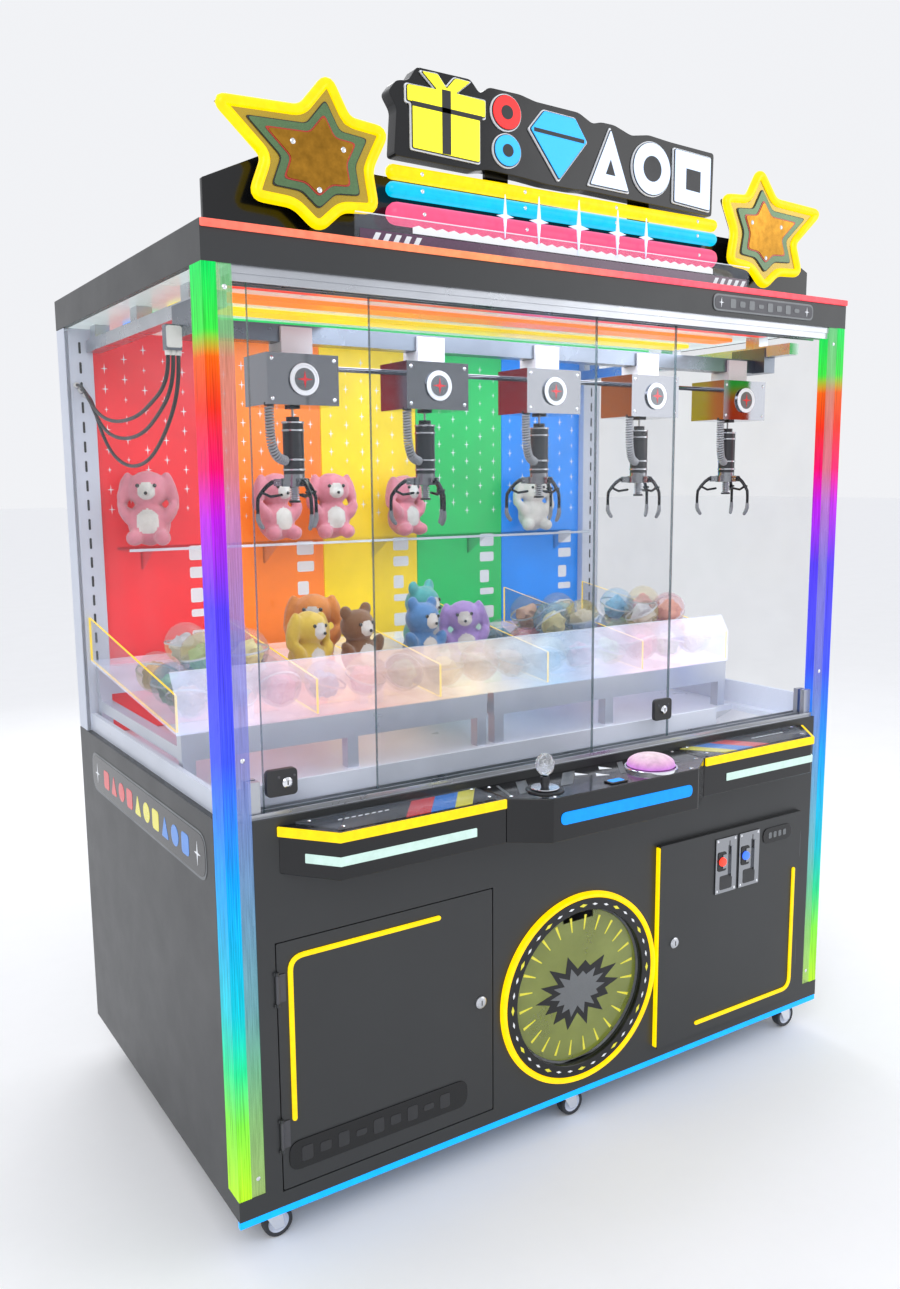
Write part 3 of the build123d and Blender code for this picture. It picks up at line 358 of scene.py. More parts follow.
class Shape:
    """Several solids, given in millimetres, as one piece with its own materials."""

    def __init__(self):
        self.bm = bmesh.new()
        self.materials = []

    def index(self, material):
        if material not in self.materials:
            self.materials.append(material)
        return self.materials.index(material)

    def add(self, verts, faces, material, bevel=0.0, side=None, segments=2):
        """Adds a solid. The first two faces are its caps; side is the others' material."""
        part = bmesh.new()
        made = [part.verts.new(Vector(v) * MM) for v in verts]
        main = self.index(material)
        other = self.index(side) if side else main
        for k, face in enumerate(faces):
            new = part.faces.new([made[i] for i in face])
            new.material_index = main if k < 2 or not side else other
        bmesh.ops.recalc_face_normals(part, faces=part.faces)
        if bevel:
            edges = [e for e in part.edges if e.calc_face_angle(0.0) > 0.6]
            bmesh.ops.bevel(part, geom=edges, offset=bevel * MM, segments=segments,
                            affect="EDGES", profile=0.5, clamp_overlap=True,
                            material=-1)
        for face in part.faces:
            face.smooth = True
        mesh = bpy.data.meshes.new("part")
        part.to_mesh(mesh)
        part.free()
        self.bm.from_mesh(mesh)
        bpy.data.meshes.remove(mesh)

    def prism(self, outline, low, high, axis, material, bevel=0.6, side=None, segments=2):
        """An outline pulled along an axis. The outline has the other two coordinates in order."""
        def at(p, h):
            a, b = p
            return {"X": (h, a, b), "Y": (a, h, b), "Z": (a, b, h)}[axis]
        n = len(outline)
        verts = [at(p, low) for p in outline] + [at(p, high) for p in outline]
        faces = [list(range(n)), list(range(n, 2 * n))]
        faces += [[i, (i + 1) % n, n + (i + 1) % n, n + i] for i in range(n)]
        self.add(verts, faces, material, bevel, side, segments)

    def box(self, x0, x1, y0, y1, z0, z1, material, bevel=0.6):
        x0, x1 = sorted((x0, x1))
        self.prism([(x0, y0), (x1, y0), (x1, y1), (x0, y1)], z0, z1, "Z", material, bevel)

    def lathe(self, profile, centre, axis, material, turns=48):
        """A closed profile of (radius, height) turned about an axis through centre."""
        def at(r, h, a):
            u, v = r * cos(a), r * sin(a)
            d = {"X": (h, u, v), "Y": (u, h, v), "Z": (u, v, h)}[axis]
            return tuple(c + e for c, e in zip(centre, d))
        part = bmesh.new()
        rows = []
        for r, h in profile:
            if r < 1e-6:
                rows.append([part.verts.new(Vector(at(0, h, 0)) * MM)])
            else:
                rows.append([part.verts.new(Vector(at(r, h, 2 * pi * k / turns)) * MM)
                             for k in range(turns)])
        closed = profile[0][0] > 1e-6
        pairs = list(zip(rows, rows[1:] + (rows[:1] if closed else [])))
        for a, b in (pairs if closed else pairs[:len(rows) - 1]):
            for k in range(turns):
                quad = [a[k % len(a)], a[(k + 1) % len(a)], b[(k + 1) % len(b)], b[k % len(b)]]
                quad = [v for i, v in enumerate(quad) if v not in quad[:i]]
                part.faces.new(quad)
        bmesh.ops.recalc_face_normals(part, faces=part.faces)
        for face in part.faces:
            face.smooth = True
            face.material_index = self.index(material)
        mesh = bpy.data.meshes.new("part")
        part.to_mesh(mesh)
        part.free()
        self.bm.from_mesh(mesh)
        bpy.data.meshes.remove(mesh)

    def tube(self, points, radius, material, closed=False, sides=14, round_ends=True):
        """A round bar along points; radius is one number or one for each point."""
        pts = [Vector(p) for p in points]
        radii = list(radius) if hasattr(radius, "__len__") else [radius] * len(pts)
        if round_ends and not closed:
            first, last = (pts[1] - pts[0]).normalized(), (pts[-1] - pts[-2]).normalized()
            r0, r1 = radii[0], radii[-1]
            steps = ((0.97, 0.25), (0.8, 0.6), (0.45, 0.9))
            head = [(pts[0] - first * r0 * h + first * 0, r0 * w) for h, w in steps]
            tail = [(pts[-1] + last * r1 * h, r1 * w) for h, w in reversed(steps)]
            pts = [p for p, _ in head] + pts + [p for p, _ in tail]
            radii = [r for _, r in head] + radii + [r for _, r in tail]
        part = bmesh.new()
        rows = []
        n = len(pts)
        normal = None
        for i, p in enumerate(pts):
            before = pts[i - 1] if i or closed else p
            after = pts[(i + 1) % n] if i < n - 1 or closed else p
            along = (after - before).normalized()
            if normal is None:
                normal = along.orthogonal().normalized()
            normal = (normal - along * normal.dot(along)).normalized()
            across = along.cross(normal)
            rows.append([part.verts.new((p + (normal * cos(2 * pi * k / sides) + across
                                              * sin(2 * pi * k / sides)) * radii[i]) * MM)
                         for k in range(sides)])
        for a, b in zip(rows, rows[1:] + (rows[:1] if closed else [])):
            if a is rows[-1] and not closed:
                break
            for k in range(sides):
                part.faces.new([a[k], a[(k + 1) % sides], b[(k + 1) % sides], b[k]])
        if not closed:
            part.faces.new(rows[0])
            part.faces.new(rows[-1])
        bmesh.ops.recalc_face_normals(part, faces=part.faces)
        for face in part.faces:
            face.smooth = True
            face.material_index = self.index(material)
        mesh = bpy.data.meshes.new("part")
        part.to_mesh(mesh)
        part.free()
        self.bm.from_mesh(mesh)
        bpy.data.meshes.remove(mesh)

    def screw(self, x, y, z, radius=4.0, axis="Y", out=-1, material=None):
        """A low round-headed screw whose head stands out along an axis."""
        h = 1.6 * out
        self.lathe([(0, h), (radius * 0.6, h * 0.95), (radius, h * 0.3), (radius, 0), (0, 0)],
                   (x, y, z), axis, material or CHROME, 16)

    def done(self, name, body=CABINET, replaced=(), turn=None):
        mesh = bpy.data.meshes.new(name)
        self.bm.to_mesh(mesh)
        self.bm.free()
        for material in self.materials:
            mesh.materials.append(material)
        mesh.set_sharp_from_angle(angle=radians(38))
        piece = bpy.data.objects.new(name, mesh)
        bpy.context.scene.collection.objects.link(piece)
        weighted = piece.modifiers.new("normals", "WEIGHTED_NORMAL")
        weighted.keep_sharp = True
        if body:
            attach(piece, body)
        if replaced:
            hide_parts(*replaced)
        return piece


def rounded(outline, radius, steps=5):
    """The outline with its corners rounded."""
    result = []
    n = len(outline)
    for i in range(n):
        a, b, c = (Vector(outline[j % n]) for j in (i - 1, i, i + 1))
        before, after = (a - b), (c - b)
        reach = min(radius, before.length * 0.49, after.length * 0.49)
        start, end = b + before.normalized() * reach, b + after.normalized() * reach
        for k in range(steps + 1):
            t = k / steps
            p = start * (1 - t) ** 2 + b * 2 * t * (1 - t) + end * t ** 2
            result.append((p.x, p.y))
    return result


def bar(x0, x1, z0, z1, radius=None):
    """A rounded rectangle."""
    r = radius if radius is not None else min(abs(x1 - x0), abs(z1 - z0)) / 2
    return rounded([(x0, z0), (x1, z0), (x1, z1), (x0, z1)], r * 1.15, 6)


def bend(points, radius, steps=6):
    """An open line with its corners rounded."""
    result = [tuple(points[0])]
    for a, b, c in zip(points, points[1:], points[2:]):
        a, b, c = Vector(a), Vector(b), Vector(c)
        start, end = b + (a - b).normalized() * radius, b + (c - b).normalized() * radius
        for k in range(steps + 1):
            t = k / steps
            result.append(tuple(start * (1 - t) ** 2 + b * 2 * t * (1 - t) + end * t ** 2))
    return result + [tuple(points[-1])]


def stroke(points, width):
    """The outline of a line of some width with round ends."""
    half = width / 2
    pts = [Vector(p) for p in points]
    left, right = [], []
    for i, p in enumerate(pts):
        along = (pts[min(i + 1, len(pts) - 1)] - pts[max(i - 1, 0)]).normalized()
        side = Vector((-along.y, along.x)) * half
        left.append(p + side)
        right.append(p - side)
    def cap(p, along):
        base = atan2(along.y, along.x)
        return [p + Vector((cos(base + a), sin(base + a))) * half
                for a in (pi / 2 - pi * k / 6 for k in range(1, 6))]
    end = cap(pts[-1], (pts[-1] - pts[-2]).normalized())
    start = cap(pts[0], (pts[0] - pts[1]).normalized())
    return [tuple(p) for p in left + end + right[::-1] + start]


def sparkle(x, z, reach, waist=0.16, squeeze=0.72):
    """A four-pointed star with hollow sides."""
    points = []
    for k in range(4):
        a = k * pi / 2
        r = reach if k % 2 else reach * squeeze
        points.append((x + r * cos(a), z + r * sin(a)))
        points.append((x + reach * waist * cos(a + pi / 4), z + reach * waist * sin(a + pi / 4)))
    return points


def grown(outline, amount):
    """The outline moved outwards by an amount."""
    area = sum(a[0] * b[1] - b[0] * a[1] for a, b in zip(outline, outline[1:] + outline[:1]))
    turn = 1.0 if area > 0 else -1.0
    result = []
    n = len(outline)
    for i in range(n):
        a, b, c = (Vector(outline[j % n]) for j in (i - 1, i, i + 1))
        u, v = (b - a).normalized(), (c - b).normalized()
        nu, nv = Vector((u.y, -u.x)) * turn, Vector((v.y, -v.x)) * turn
        mid = nu + nv
        mid = mid * (2.0 / max(mid.length_squared, 0.8))
        p = b + mid * amount
        result.append((p.x, p.y))
    return result


def scaled(outline, factor):
    cx = sum(p[0] for p in outline) / len(outline)
    cz = sum(p[1] for p in outline) / len(outline)
    return [(cx + (x - cx) * factor, cz + (z - cz) * factor) for x, z in outline]


def flip(outline):
    return [(-x, z) for x, z in reversed(outline)]


# ---- cords ------------------------------------------------------------------------------

CURLY_ROUTE = [(70, 1480), (70, 1446), (67, 1412), (50, 1386), (21.5, 1384)]
CURLY_AZIMUTH = radians(210)
CABLE_X = (-730, -721, -712)
CABLE_ROUTES = (
    [(455, 1556), (413, 1556), (350, 1512), (275, 1480), (190, 1466), (105, 1464), (20, 1470),
     (-58, 1489), (-120, 1508), (-151, 1540), (-151, 1566.5)],
    [(455, 1546), (415, 1546), (352, 1490), (278, 1450), (193, 1434), (106, 1431), (20, 1440),
     (-58, 1466), (-122, 1496), (-151, 1536), (-151, 1566.5)],
    [(455, 1536), (416, 1536), (358, 1466), (288, 1412), (204, 1384), (116, 1377), (28, 1389),
     (-52, 1426), (-120, 1476), (-151, 1528), (-151, 1566.5)],
)
CABLE_D = 0.007


def spline(name, points, diameter=0.0, resolution=12):
    """A smooth curve through the air, with the route's points as its control points."""
    curve = bpy.data.curves.new(name, "CURVE")
    curve.dimensions = "3D"
    curve.resolution_u = resolution
    curve.bevel_depth = diameter / 2
    curve.bevel_resolution = 5
    curve.use_fill_caps = True
    line = curve.splines.new("NURBS")
    line.points.add(len(points) - 1)
    for point, p in zip(line.points, points):
        point.co = (*(c * MM for c in p), 1.0)
    line.order_u = 3
    line.use_endpoint_u = True
    obj = bpy.data.objects.new(name, curve)
    bpy.context.scene.collection.objects.link(obj)
    return obj


def line_points(obj):
    """Points along a curve, read from its own spline."""
    bpy.context.view_layer.update()
    mesh = bpy.data.meshes.new_from_object(obj)
    points = [v.co.copy() for v in mesh.vertices]
    bpy.data.meshes.remove(mesh)
    return points


def length_of(points):
    return sum((b - a).length for a, b in zip(points, points[1:]))


def make_cables():
    for k, (x, route) in enumerate(zip(CABLE_X, CABLE_ROUTES)):
        points = [(x, y, z) for y, z in route]
        bare = spline("route", points)
        length = length_of(line_points(bare))
        bpy.data.objects.remove(bare)
        cable = spline(f"gantry_cable_{k + 1}", points, CABLE_D)
        cable.data.materials.append(CABLE)
        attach(cable, CABINET)
        if k == 0:
            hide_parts("gantry_cables")
        tuple(c * MM for c in points[0])


CURLY_WIRE, CURLY_RADIUS, CURLY_PITCH = 4.0, 7.0, 5.2
TURN_POINTS, TAPER_POINTS = 14, 10  # points in a turn, and in the run-in at each end


def helix(points):
    """Points of a helix that winds round a line, from its start to its end."""
    total = length_of(points)
    turns = total / (CURLY_PITCH * MM)
    count = int(turns * TURN_POINTS)
    lengths = [0.0]
    for a, b in zip(points, points[1:]):
        lengths.append(lengths[-1] + (b - a).length)
    result = []
    seg = 0
    normal = None
    for i in range(count + 1):
        s = total * i / count
        while seg < len(points) - 2 and lengths[seg + 1] < s:
            seg += 1
        t = (s - lengths[seg]) / max(lengths[seg + 1] - lengths[seg], 1e-9)
        p = points[seg].lerp(points[seg + 1], t)
        direction = (points[seg + 1] - points[seg]).normalized()
        if normal is None:
            normal = direction.orthogonal().normalized()
        normal = (normal - direction * normal.dot(direction)).normalized()
        across = direction.cross(normal)
        a = 2 * pi * turns * i / count
        taper = min(1.0, i / TAPER_POINTS, (count - i) / TAPER_POINTS)
        result.append(p + (normal * cos(a) + across * sin(a)) * CURLY_RADIUS * MM * taper)
    return result


def make_curly_cords():
    for i, x in enumerate(CLAW_XS):
        route = [(x + r * cos(CURLY_AZIMUTH), CLAW_Y + r * sin(CURLY_AZIMUTH), z)
                 for r, z in CURLY_ROUTE]
        bare = spline("route", route)
        centre = line_points(bare)
        bpy.data.objects.remove(bare)
        path = helix(centre)
        shape = Shape()
        shape.tube([p / MM for p in path], CURLY_WIRE / 2, CURLY, sides=10, round_ends=False)
        cord = shape.done(f"curly_cord_{i + 1}", None,
                          ("curly_cords",) if i == 0 else ())
        tuple(centre[0])
        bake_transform(cord)
        round(length_of(path), 3)


make_cables()
make_curly_cords()

# ---- light and floor --------------------------------------------------------------------


def lamp(name, at, target, size, power, colour=(1, 1, 1)):
    data = bpy.data.lights.new(name, "AREA")
    data.energy = power
    data.size = size
    data.color = colour
    obj = bpy.data.objects.new(name, data)
    obj.location = at
    obj.rotation_euler = (Vector(target) - Vector(at)).to_track_quat("-Z", "Y").to_euler()
    bpy.context.scene.collection.objects.link(obj)


def make_stage():
    world = bpy.data.worlds.new("studio")
    world.use_nodes = True
    back = world.node_tree.nodes["Background"]
    back.inputs["Color"].default_value = (0.96, 0.97, 1.0, 1.0)
    back.inputs["Strength"].default_value = 0.92
    bpy.context.scene.world = world
    bpy.context.scene.view_settings.view_transform = "Standard"
    lamp("key", (-2.8, -3.2, 3.4), (0, 0, 0.9), 2.2, 60)
    lamp("fill", (3.0, -2.6, 2.2), (0, 0, 0.9), 2.4, 30)
    lamp("back", (0.8, 3.4, 2.8), (0, 0, 1.0), 2.4, 40)
    lamp("inside", (0, 0.05, 1.645), (0, 0.12, 0.9), 0.9, 9, (0.82, 0.90, 1.0))
    floor = Shape()
    floor.prism(bar(-60000, 60000, -60000, 60000, 400), -20.0, -0.5, "Z",
                surface("floor_pale", (0.95, 0.955, 0.97), 0.85, 0.0, 30.0, 0.0001, 0.01), 4.0)
    piece = floor.done("floor", None)


make_stage()

# ---- carried-over CAD nodes -------------------------------------------------------------


def carry(node, material, bevel=0.0):
    """Gives a CAD node its material and softened edges."""
    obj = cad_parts[node]
    for slot in obj.material_slots:
        slot.material = material
    if not obj.material_slots:
        obj.data.materials.append(material)
    if bevel:
        edge = obj.modifiers.new("edges", "BEVEL")
        edge.width = bevel * MM
        edge.segments = 2
        edge.limit_method = "ANGLE"
        edge.angle_limit = radians(50)
        edge.harden_normals = True


def by_height(name, low_stuff, high_stuff, height):
    """One material for a node whose solids above a height are of other stuff."""
    n = Nodes(name)
    above = n.span(n.axis("Z"), height - 0.0004, height + 0.0004)
    fine = n.noise(500.0, 3.0)

    def pick(low, high, target):
        node = n.new("ShaderNodeMix", data_type="RGBA")
        n.link(above, node.inputs[0])
        node.inputs[6].default_value = (*low, 1.0)
        node.inputs[7].default_value = (*high, 1.0)
        n.link(n.multiply(node.outputs[2], n.ramp(fine, [(0.3, (0.88,) * 3), (0.7, (1.0,) * 3)])),
               n.shader.inputs[target])

    pick(low_stuff[0], high_stuff[0], "Base Color")
    n.link(n.span(above, 0.0, 1.0, low_stuff[1], high_stuff[1]), n.shader.inputs["Roughness"])
    n.link(n.span(above, 0.0, 1.0, low_stuff[2], high_stuff[2]), n.shader.inputs["Metallic"])
    n.bump(fine, 0.3, 0.0001)
    return n.material


def carry_all():
    carry("base_frame", DARK_STEEL)
    carry("cabinet_panels", CHARCOAL, 1.0)
    carry("front_panel", CHARCOAL, 0.5)
    carry("play_deck", WHITE_PAINTED_GLOW, 0.8)
    carry("prize_chute", CHUTE)
    carry("electronics", BOARD_GREEN, 1.0)
    carry("roof_canopy", CHARCOAL, 1.5)
    carry("door_tracks", ALUMINIUM, 0.4)
    carry("side_glass", GLASS, 0.8)
    carry("tray_stand", STAND, 1.0)
    carry("gantry_rails", STEEL_Y, 1.0)
    carry("gantry_bridge", BEAM, 1.0)
    carry("coin_mechs", DARK_CHROME, 0.6)
    carry("joystick_gimbal", BLACK, 0.5)
    carry("winch_boxes", by_height("winch_metal", ((0.30, 0.31, 0.34), 0.08, 1.0),
                                   ((0.78, 0.79, 0.82), 0.4, 0.0), 1.5682), 2.0)
    carry("claw_heads", by_height("claw_metal", ((0.30, 0.31, 0.33), 0.25, 1.0),
                                  ((0.05, 0.05, 0.055), 0.3, 0.6), 1.36), 0.8)
    for row in ("front", "rear"):
        for side in ("left", "middle", "right"):
            carry(f"{row}_{side}_caster_fork", CHROME, 0.6)


carry_all()

# ---- columns and posts ------------------------------------------------------------------


def fluted(side):
    """Plan of a column's bar, with ribs on its front and outer faces."""
    points = []
    ribs = 6
    for k in range(ribs):
        x = 726 + 24 * k / ribs
        points += [(x, FRONT + 1.2), (x + 1.0, FRONT), (x + 3.0, FRONT)]
    for k in range(10):
        y = FRONT + 5 * k
        points += [(HALF - 1.2, y), (HALF, y + 1.0), (HALF, y + 4.0)]
    points += [(HALF - 1.2, FRONT + 50), (726, FRONT + 50)]
    return points if side > 0 else flip(points)


def columns():
    shape = Shape()
    for side in (-1, 1):
        shape.prism(fluted(side), PLINTH_TOP, ROOF_Z, "Z", COLUMN, 0.0)
        a, b = sorted((side * 701, side * 726))
        shape.prism([(a, FRONT + 1), (b, FRONT + 1), (b, FRONT + 7), (a, FRONT + 7)],
                    PLINTH_TOP, ROOF_Z, "Z", FIN, 1.0)
        x = side * 713.5
        for z in (160, 900, 1640):
            shape.screw(x, FRONT + 1, z, 4.0)
    shape.done("light_columns", replaced=("corner_columns",))
    posts = Shape()
    for side in (-1, 1):
        a, b = sorted((side * HALF, side * 690))
        posts.box(a, b, 455, BACK, SILL_Z, ROOF_Z, POST_WHITE, 2.0)
        for k in range(20):
            z = SILL_Z + 30 + k * 42
            posts.prism(bar(side * 718 - 2.5, side * 718 + 2.5, z, z + 24), 454.6, 457, "Y",
                        BLACK, 0.0)
    posts.done("rear_posts")


columns()

# ---- walls and ceiling ------------------------------------------------------------------


def back_panels():
    width = 276.0
    shape = Shape()
    prints = Shape()
    for k in range(5):
        x = -690 + k * width
        shape.box(x + 0.5, x + width - 0.5, 475, 503, DECK_TOP, ROOF_Z, PANELS[k], 2.0)
        for row in range(9):
            for col in range(6):
                cx = x + 28 + col * 44
                cz = 1640 - row * 44 - (22 if col % 2 else 0)
                prints.prism(sparkle(cx, cz, 11 if (row + col) % 3 else 7), 474.4, 475, "Y",
                             PRINT_WHITE, 0.0)
        for row, (w, h) in enumerate(((46, 34), (46, 26), (30, 34), (46, 18), (46, 34), (22, 22))):
            z = 1200 - row * 50
            left = x + width - 74
            prints.prism(bar(left, left + w, z - h, z, 5), 474.4, 475, "Y", PRINT_WHITE, 0.0)
    shape.done("back_panels", replaced=("back_wall",))
    prints.done("back_prints")
    shelf = Shape()
    shelf.box(-655, 655, 380, 475, 1196, 1204, ACRYLIC, 1.0)
    # Front edge strip of the shelf, with the painted glow of the acrylic edge.
    shelf.box(-655, 655, 380, 380.8, 1197, 1203, ACRYLIC_EDGE_PAINTED_GLOW, 0.2)
    for x in (-600, -300, 0, 300, 600):
        shelf.prism([(475, 1196), (396, 1196), (475, 1150)], x - 3, x + 3, "X", ACRYLIC, 0.5)
    shelf.done("back_shelf")


def ceiling():
    shape = Shape()
    shape.box(-740, 740, FRONT + 10, 505, ROOF_Z, ROOF_Z + 8, CEILING, 1.0)
    for k in range(5):
        y = FRONT + 129 + k * 142
        shape.prism(bar(-655, 655, y - 30, y + 30, 6), ROOF_Z - 8, ROOF_Z, "Z", BARS[k], 1.5)
        for j in range(10):
            shape.prism(sparkle(-620 + j * 137, y + 71, 22), ROOF_Z - 0.6, ROOF_Z, "Z",
                        PRINT_WHITE, 0.0)
    shape.done("ceiling", replaced=("ceiling_lights",))


back_panels()
ceiling()

# ---- marquee ----------------------------------------------------------------------------

BOARD = [(-713, ROOF_TOP), (713, ROOF_TOP), (713, 1805), (608, 1850), (-608, 1865), (-713, 1816)]
SIGN = [(-382, 1890), (-216, 1888), (-190, 1893), (-110, 1890), (-60, 1886), (10, 1886),
        (40, 1888), (374, 1880), (376, 2004), (250, 2008), (196, 2012), (150, 2004), (106, 2016),
        (74, 2016), (52, 2010), (18, 2024), (-84, 2026), (-118, 2032), (-186, 2032),
        (-206, 2018), (-226, 2038), (-336, 2038), (-352, 2014), (-376, 2010), (-392, 1990),
        (-376, 1966)]
STAR = [(-707, 1928), (-557, 1934), (-507, 1993), (-471, 1930), (-398, 1924), (-432, 1858),
        (-420, 1793), (-486, 1788), (-530, 1749), (-573, 1784), (-647, 1788), (-622, 1852)]


def disc(x, z, rx, rz, count=28):
    return [(x + rx * cos(2 * pi * k / count), z + rz * sin(2 * pi * k / count))
            for k in range(count)]


SIGN_MARKS = (
    (SIGN_YELLOW, [(-348, 1906), (-212, 1902), (-212, 1978), (-200, 1978), (-200, 2004),
                   (-262, 2006), (-232, 2030), (-262, 2032), (-280, 2010), (-298, 2032),
                   (-328, 2030), (-298, 2006), (-358, 2004), (-358, 1980), (-348, 1980)]),
    (SIGN_RED, disc(-152, 1994, 30, 28)),
    (SIGN_BLUE, disc(-150, 1930, 28, 26)),
    (SIGN_BLUE, [(-98, 1976), (-68, 2010), (4, 2008), (32, 1972), (-32, 1898)]),
    (SIGN_PALE, [(44, 1900), (92, 2002), (138, 1898)]),
    (SIGN_PALE, disc(200, 1948, 48, 48)),
    (SIGN_PALE, [(262, 1896), (360, 1890), (360, 1990), (262, 1994)]),
)
# black lines across the raised shapes
SIGN_CUTS = (
    [(-290, 1904), (-272, 1904), (-272, 2008), (-290, 2008)], [(-350, 1972), (-206, 1970),
     (-206, 1978), (-350, 1980)], disc(-152, 1994, 13, 12), disc(-150, 1930, 12, 11),
    [(-92, 1972), (26, 1968), (26, 1975), (-92, 1979)], [(80, 1922), (104, 1921), (92, 1950)],
    disc(200, 1948, 24, 24), [(292, 1922), (332, 1920), (332, 1960), (292, 1962)],
)
SPARKLES = ((-168, 26), (-92, 32), (2, 38), (98, 32), (172, 26))


def marquee_board():
    shape = Shape()
    shape.prism(BOARD, FRONT + 80, FRONT + 90, "Y", BLACK_GLOSS, 1.5)
    for z, r in ((1950, 26), (2010, 26)):
        for x in (-150, 200):
            shape.box(x - r, x + r, FRONT + 81, FRONT + 89, z - 180, z - 60, BLACK, 1.0)
    shape.prism(rounded(SIGN, 7, 3), FRONT + 52, FRONT + 80, "Y", BLACK_GLOSS, 2.0)
    for material, outline in SIGN_MARKS:
        outline = [(x, min(z, 2030)) for x, z in outline]
        shape.prism(rounded(grown(outline, 3.6), 4, 3), FRONT + 48.5, FRONT + 52, "Y",
                    PRINT_WHITE, 0.0)
        shape.prism(rounded(grown(outline, 1.6), 4, 3), FRONT + 46.5, FRONT + 48.5, "Y",
                    BLACK, 0.0)
        shape.prism(rounded(grown(outline, 0.2), 3, 3), FRONT + 45, FRONT + 46.5, "Y",
                    material, 0.0)
    for outline in SIGN_CUTS:
        shape.prism(outline, FRONT + 44.6, FRONT + 45.5, "Y", BLACK, 0.0)
    shape.done("marquee_sign", replaced=("marquee_board",))


def marquee_tubes():
    shape = Shape()
    for z, radius, material in ((1865, 12.5, YELLOW), (1837, 13.0, CYAN_TUBE),
                                (1798, 19.0, PINK_TUBE)):
        shape.tube([(-394 + radius + 788 * k / 12 * (1 - 2 * radius / 788), FRONT + 60, z)
                    for k in range(13)], radius, material, sides=20)
        for x in (-330, -110, 110, 330):
            shape.screw(x, FRONT + 60 - radius, z, 3.5)
    shape.box(-470, 470, FRONT + 32, FRONT + 36, ROOF_TOP, 1786, ACRYLIC, 0.8)
    # Bottom edge strip of the marquee acrylic, with the painted glow of the acrylic edge.
    shape.box(-470, 470, FRONT + 31.6, FRONT + 32, 1784, 1786, ACRYLIC_EDGE_PAINTED_GLOW, 0.0)
    scallops = [(-360, ROOF_TOP + 26)]
    for k in range(61):
        x = -360 + 12 * k
        scallops.append((x, ROOF_TOP + 36 + (4 if k % 2 else 0)))
    scallops.append((360, ROOF_TOP + 26))
    shape.prism(scallops, FRONT + 31.2, FRONT + 32, "Y", PRINT_WHITE, 0.0)
    band = surface("marquee_band", (0.10, 0.03, 0.09), 0.25, 0.0, coat=0.6, vary=0.4)
    shape.box(-462, 462, FRONT + 31.2, FRONT + 32, ROOF_TOP + 3, ROOF_TOP + 24, band, 0.0)
    for side in (-1, 1):
        for k in range(5):
            x = side * (360 + 20 * k)
            shape.prism([(x, ROOF_TOP + 6), (x + 10, ROOF_TOP + 6), (x + 18, ROOF_TOP + 20),
                         (x + 8, ROOF_TOP + 20)], FRONT + 30.6, FRONT + 31.2, "Y",
                        PRINT_WHITE, 0.0)
    for x, reach in SPARKLES:
        shape.prism(sparkle(x, 1812, reach + 12, 0.13, 0.5), FRONT + 28, FRONT + 31, "Y",
                    SIGN_PALE, 0.6)
    shape.done("marquee_tubes_lit", replaced=("marquee_tubes",))


def marquee_stars():
    shape = Shape()
    for outline in (STAR, flip(STAR)):
        layers = ((0.96, 48, 60, BLACK_GLOSS, 1.0), (0.86, 45.5, 48, OCHRE, 0.5),
                  (0.70, 43.5, 45.5, BLACK, 0.3), (0.68, 42.5, 43.5, STAR_GREEN, 0.3),
                  (0.53, 41.6, 42.5, STAR_RED, 0.2), (0.50, 40.6, 41.6, STAR_MIRROR, 0.3))
        for factor, y0, y1, material, bevel in layers:
            shape.prism(rounded(scaled(outline, factor), 8, 3), FRONT + y0, FRONT + y1, "Y",
                        material, bevel)
        path = rounded(scaled(outline, 0.945), 16, 5)
        shape.tube([(x, FRONT + 47, z) for x, z in path], 9.0, YELLOW, closed=True, sides=14)
        cx = sum(p[0] for p in outline) / 12
        for dx, z in ((-45, 1880), (45, 1880), (0, 1812)):
            shape.screw(cx + dx, FRONT + 41, z, 4.5)
            shape.lathe([(0, 0), (9, 0), (9, 20), (0, 20)], (cx + dx, FRONT + 60, z), "Y",
                        ALUMINIUM, 20)
    shape.done("marquee_stars_lit", replaced=("marquee_stars",))


def canopy_badge():
    shape = Shape()
    shape.prism(bar(330, 637, 1684, 1718, 12), FRONT - 2.2, FRONT, "Y", BADGE_GREY, 0.8)
    shape.prism(bar(334, 633, 1688, 1714, 10), FRONT - 2.8, FRONT - 2.2, "Y", DARK_STEEL, 0.0)
    for x in (352, 615):
        shape.prism(sparkle(x, 1701, 10), FRONT - 3.4, FRONT - 2.8, "Y", PRINT_WHITE, 0.0)
    for k in range(8):
        x = 378 + 28 * k
        h = (9, 6, 9, 4)[k % 4]
        shape.prism(bar(x, x + 16, 1701 - h, 1701 + h, 3), FRONT - 3.4, FRONT - 2.8, "Y",
                    BADGE_GREY, 0.0)
    shape.done("canopy_badge")


marquee_board()
marquee_tubes()
marquee_stars()
canopy_badge()

# ---- doors of the window ----------------------------------------------------------------


def lock(shape, x0, x1, y0, y1, z0, z1, keyed):
    shape.prism(bar(x0, x1, z0, z1, 8), y0, y1, "Y", BLACK, 1.5, segments=3)
    x, z = keyed
    shape.lathe([(0, -5), (6, -5), (7, -4.4), (9, -3), (9, 0), (0, 0)], (x, y0, z), "Y", CHROME, 28)
    shape.box(x - 1, x + 1, y0 - 5.3, y0 - 4.8, z - 4, z + 4, BLACK, 0.0)
    for dx in (-14, 14):
        if x0 < x + dx < x1:
            shape.screw(x + dx, y0, z + 10, 2.5, material=DARK_STEEL)


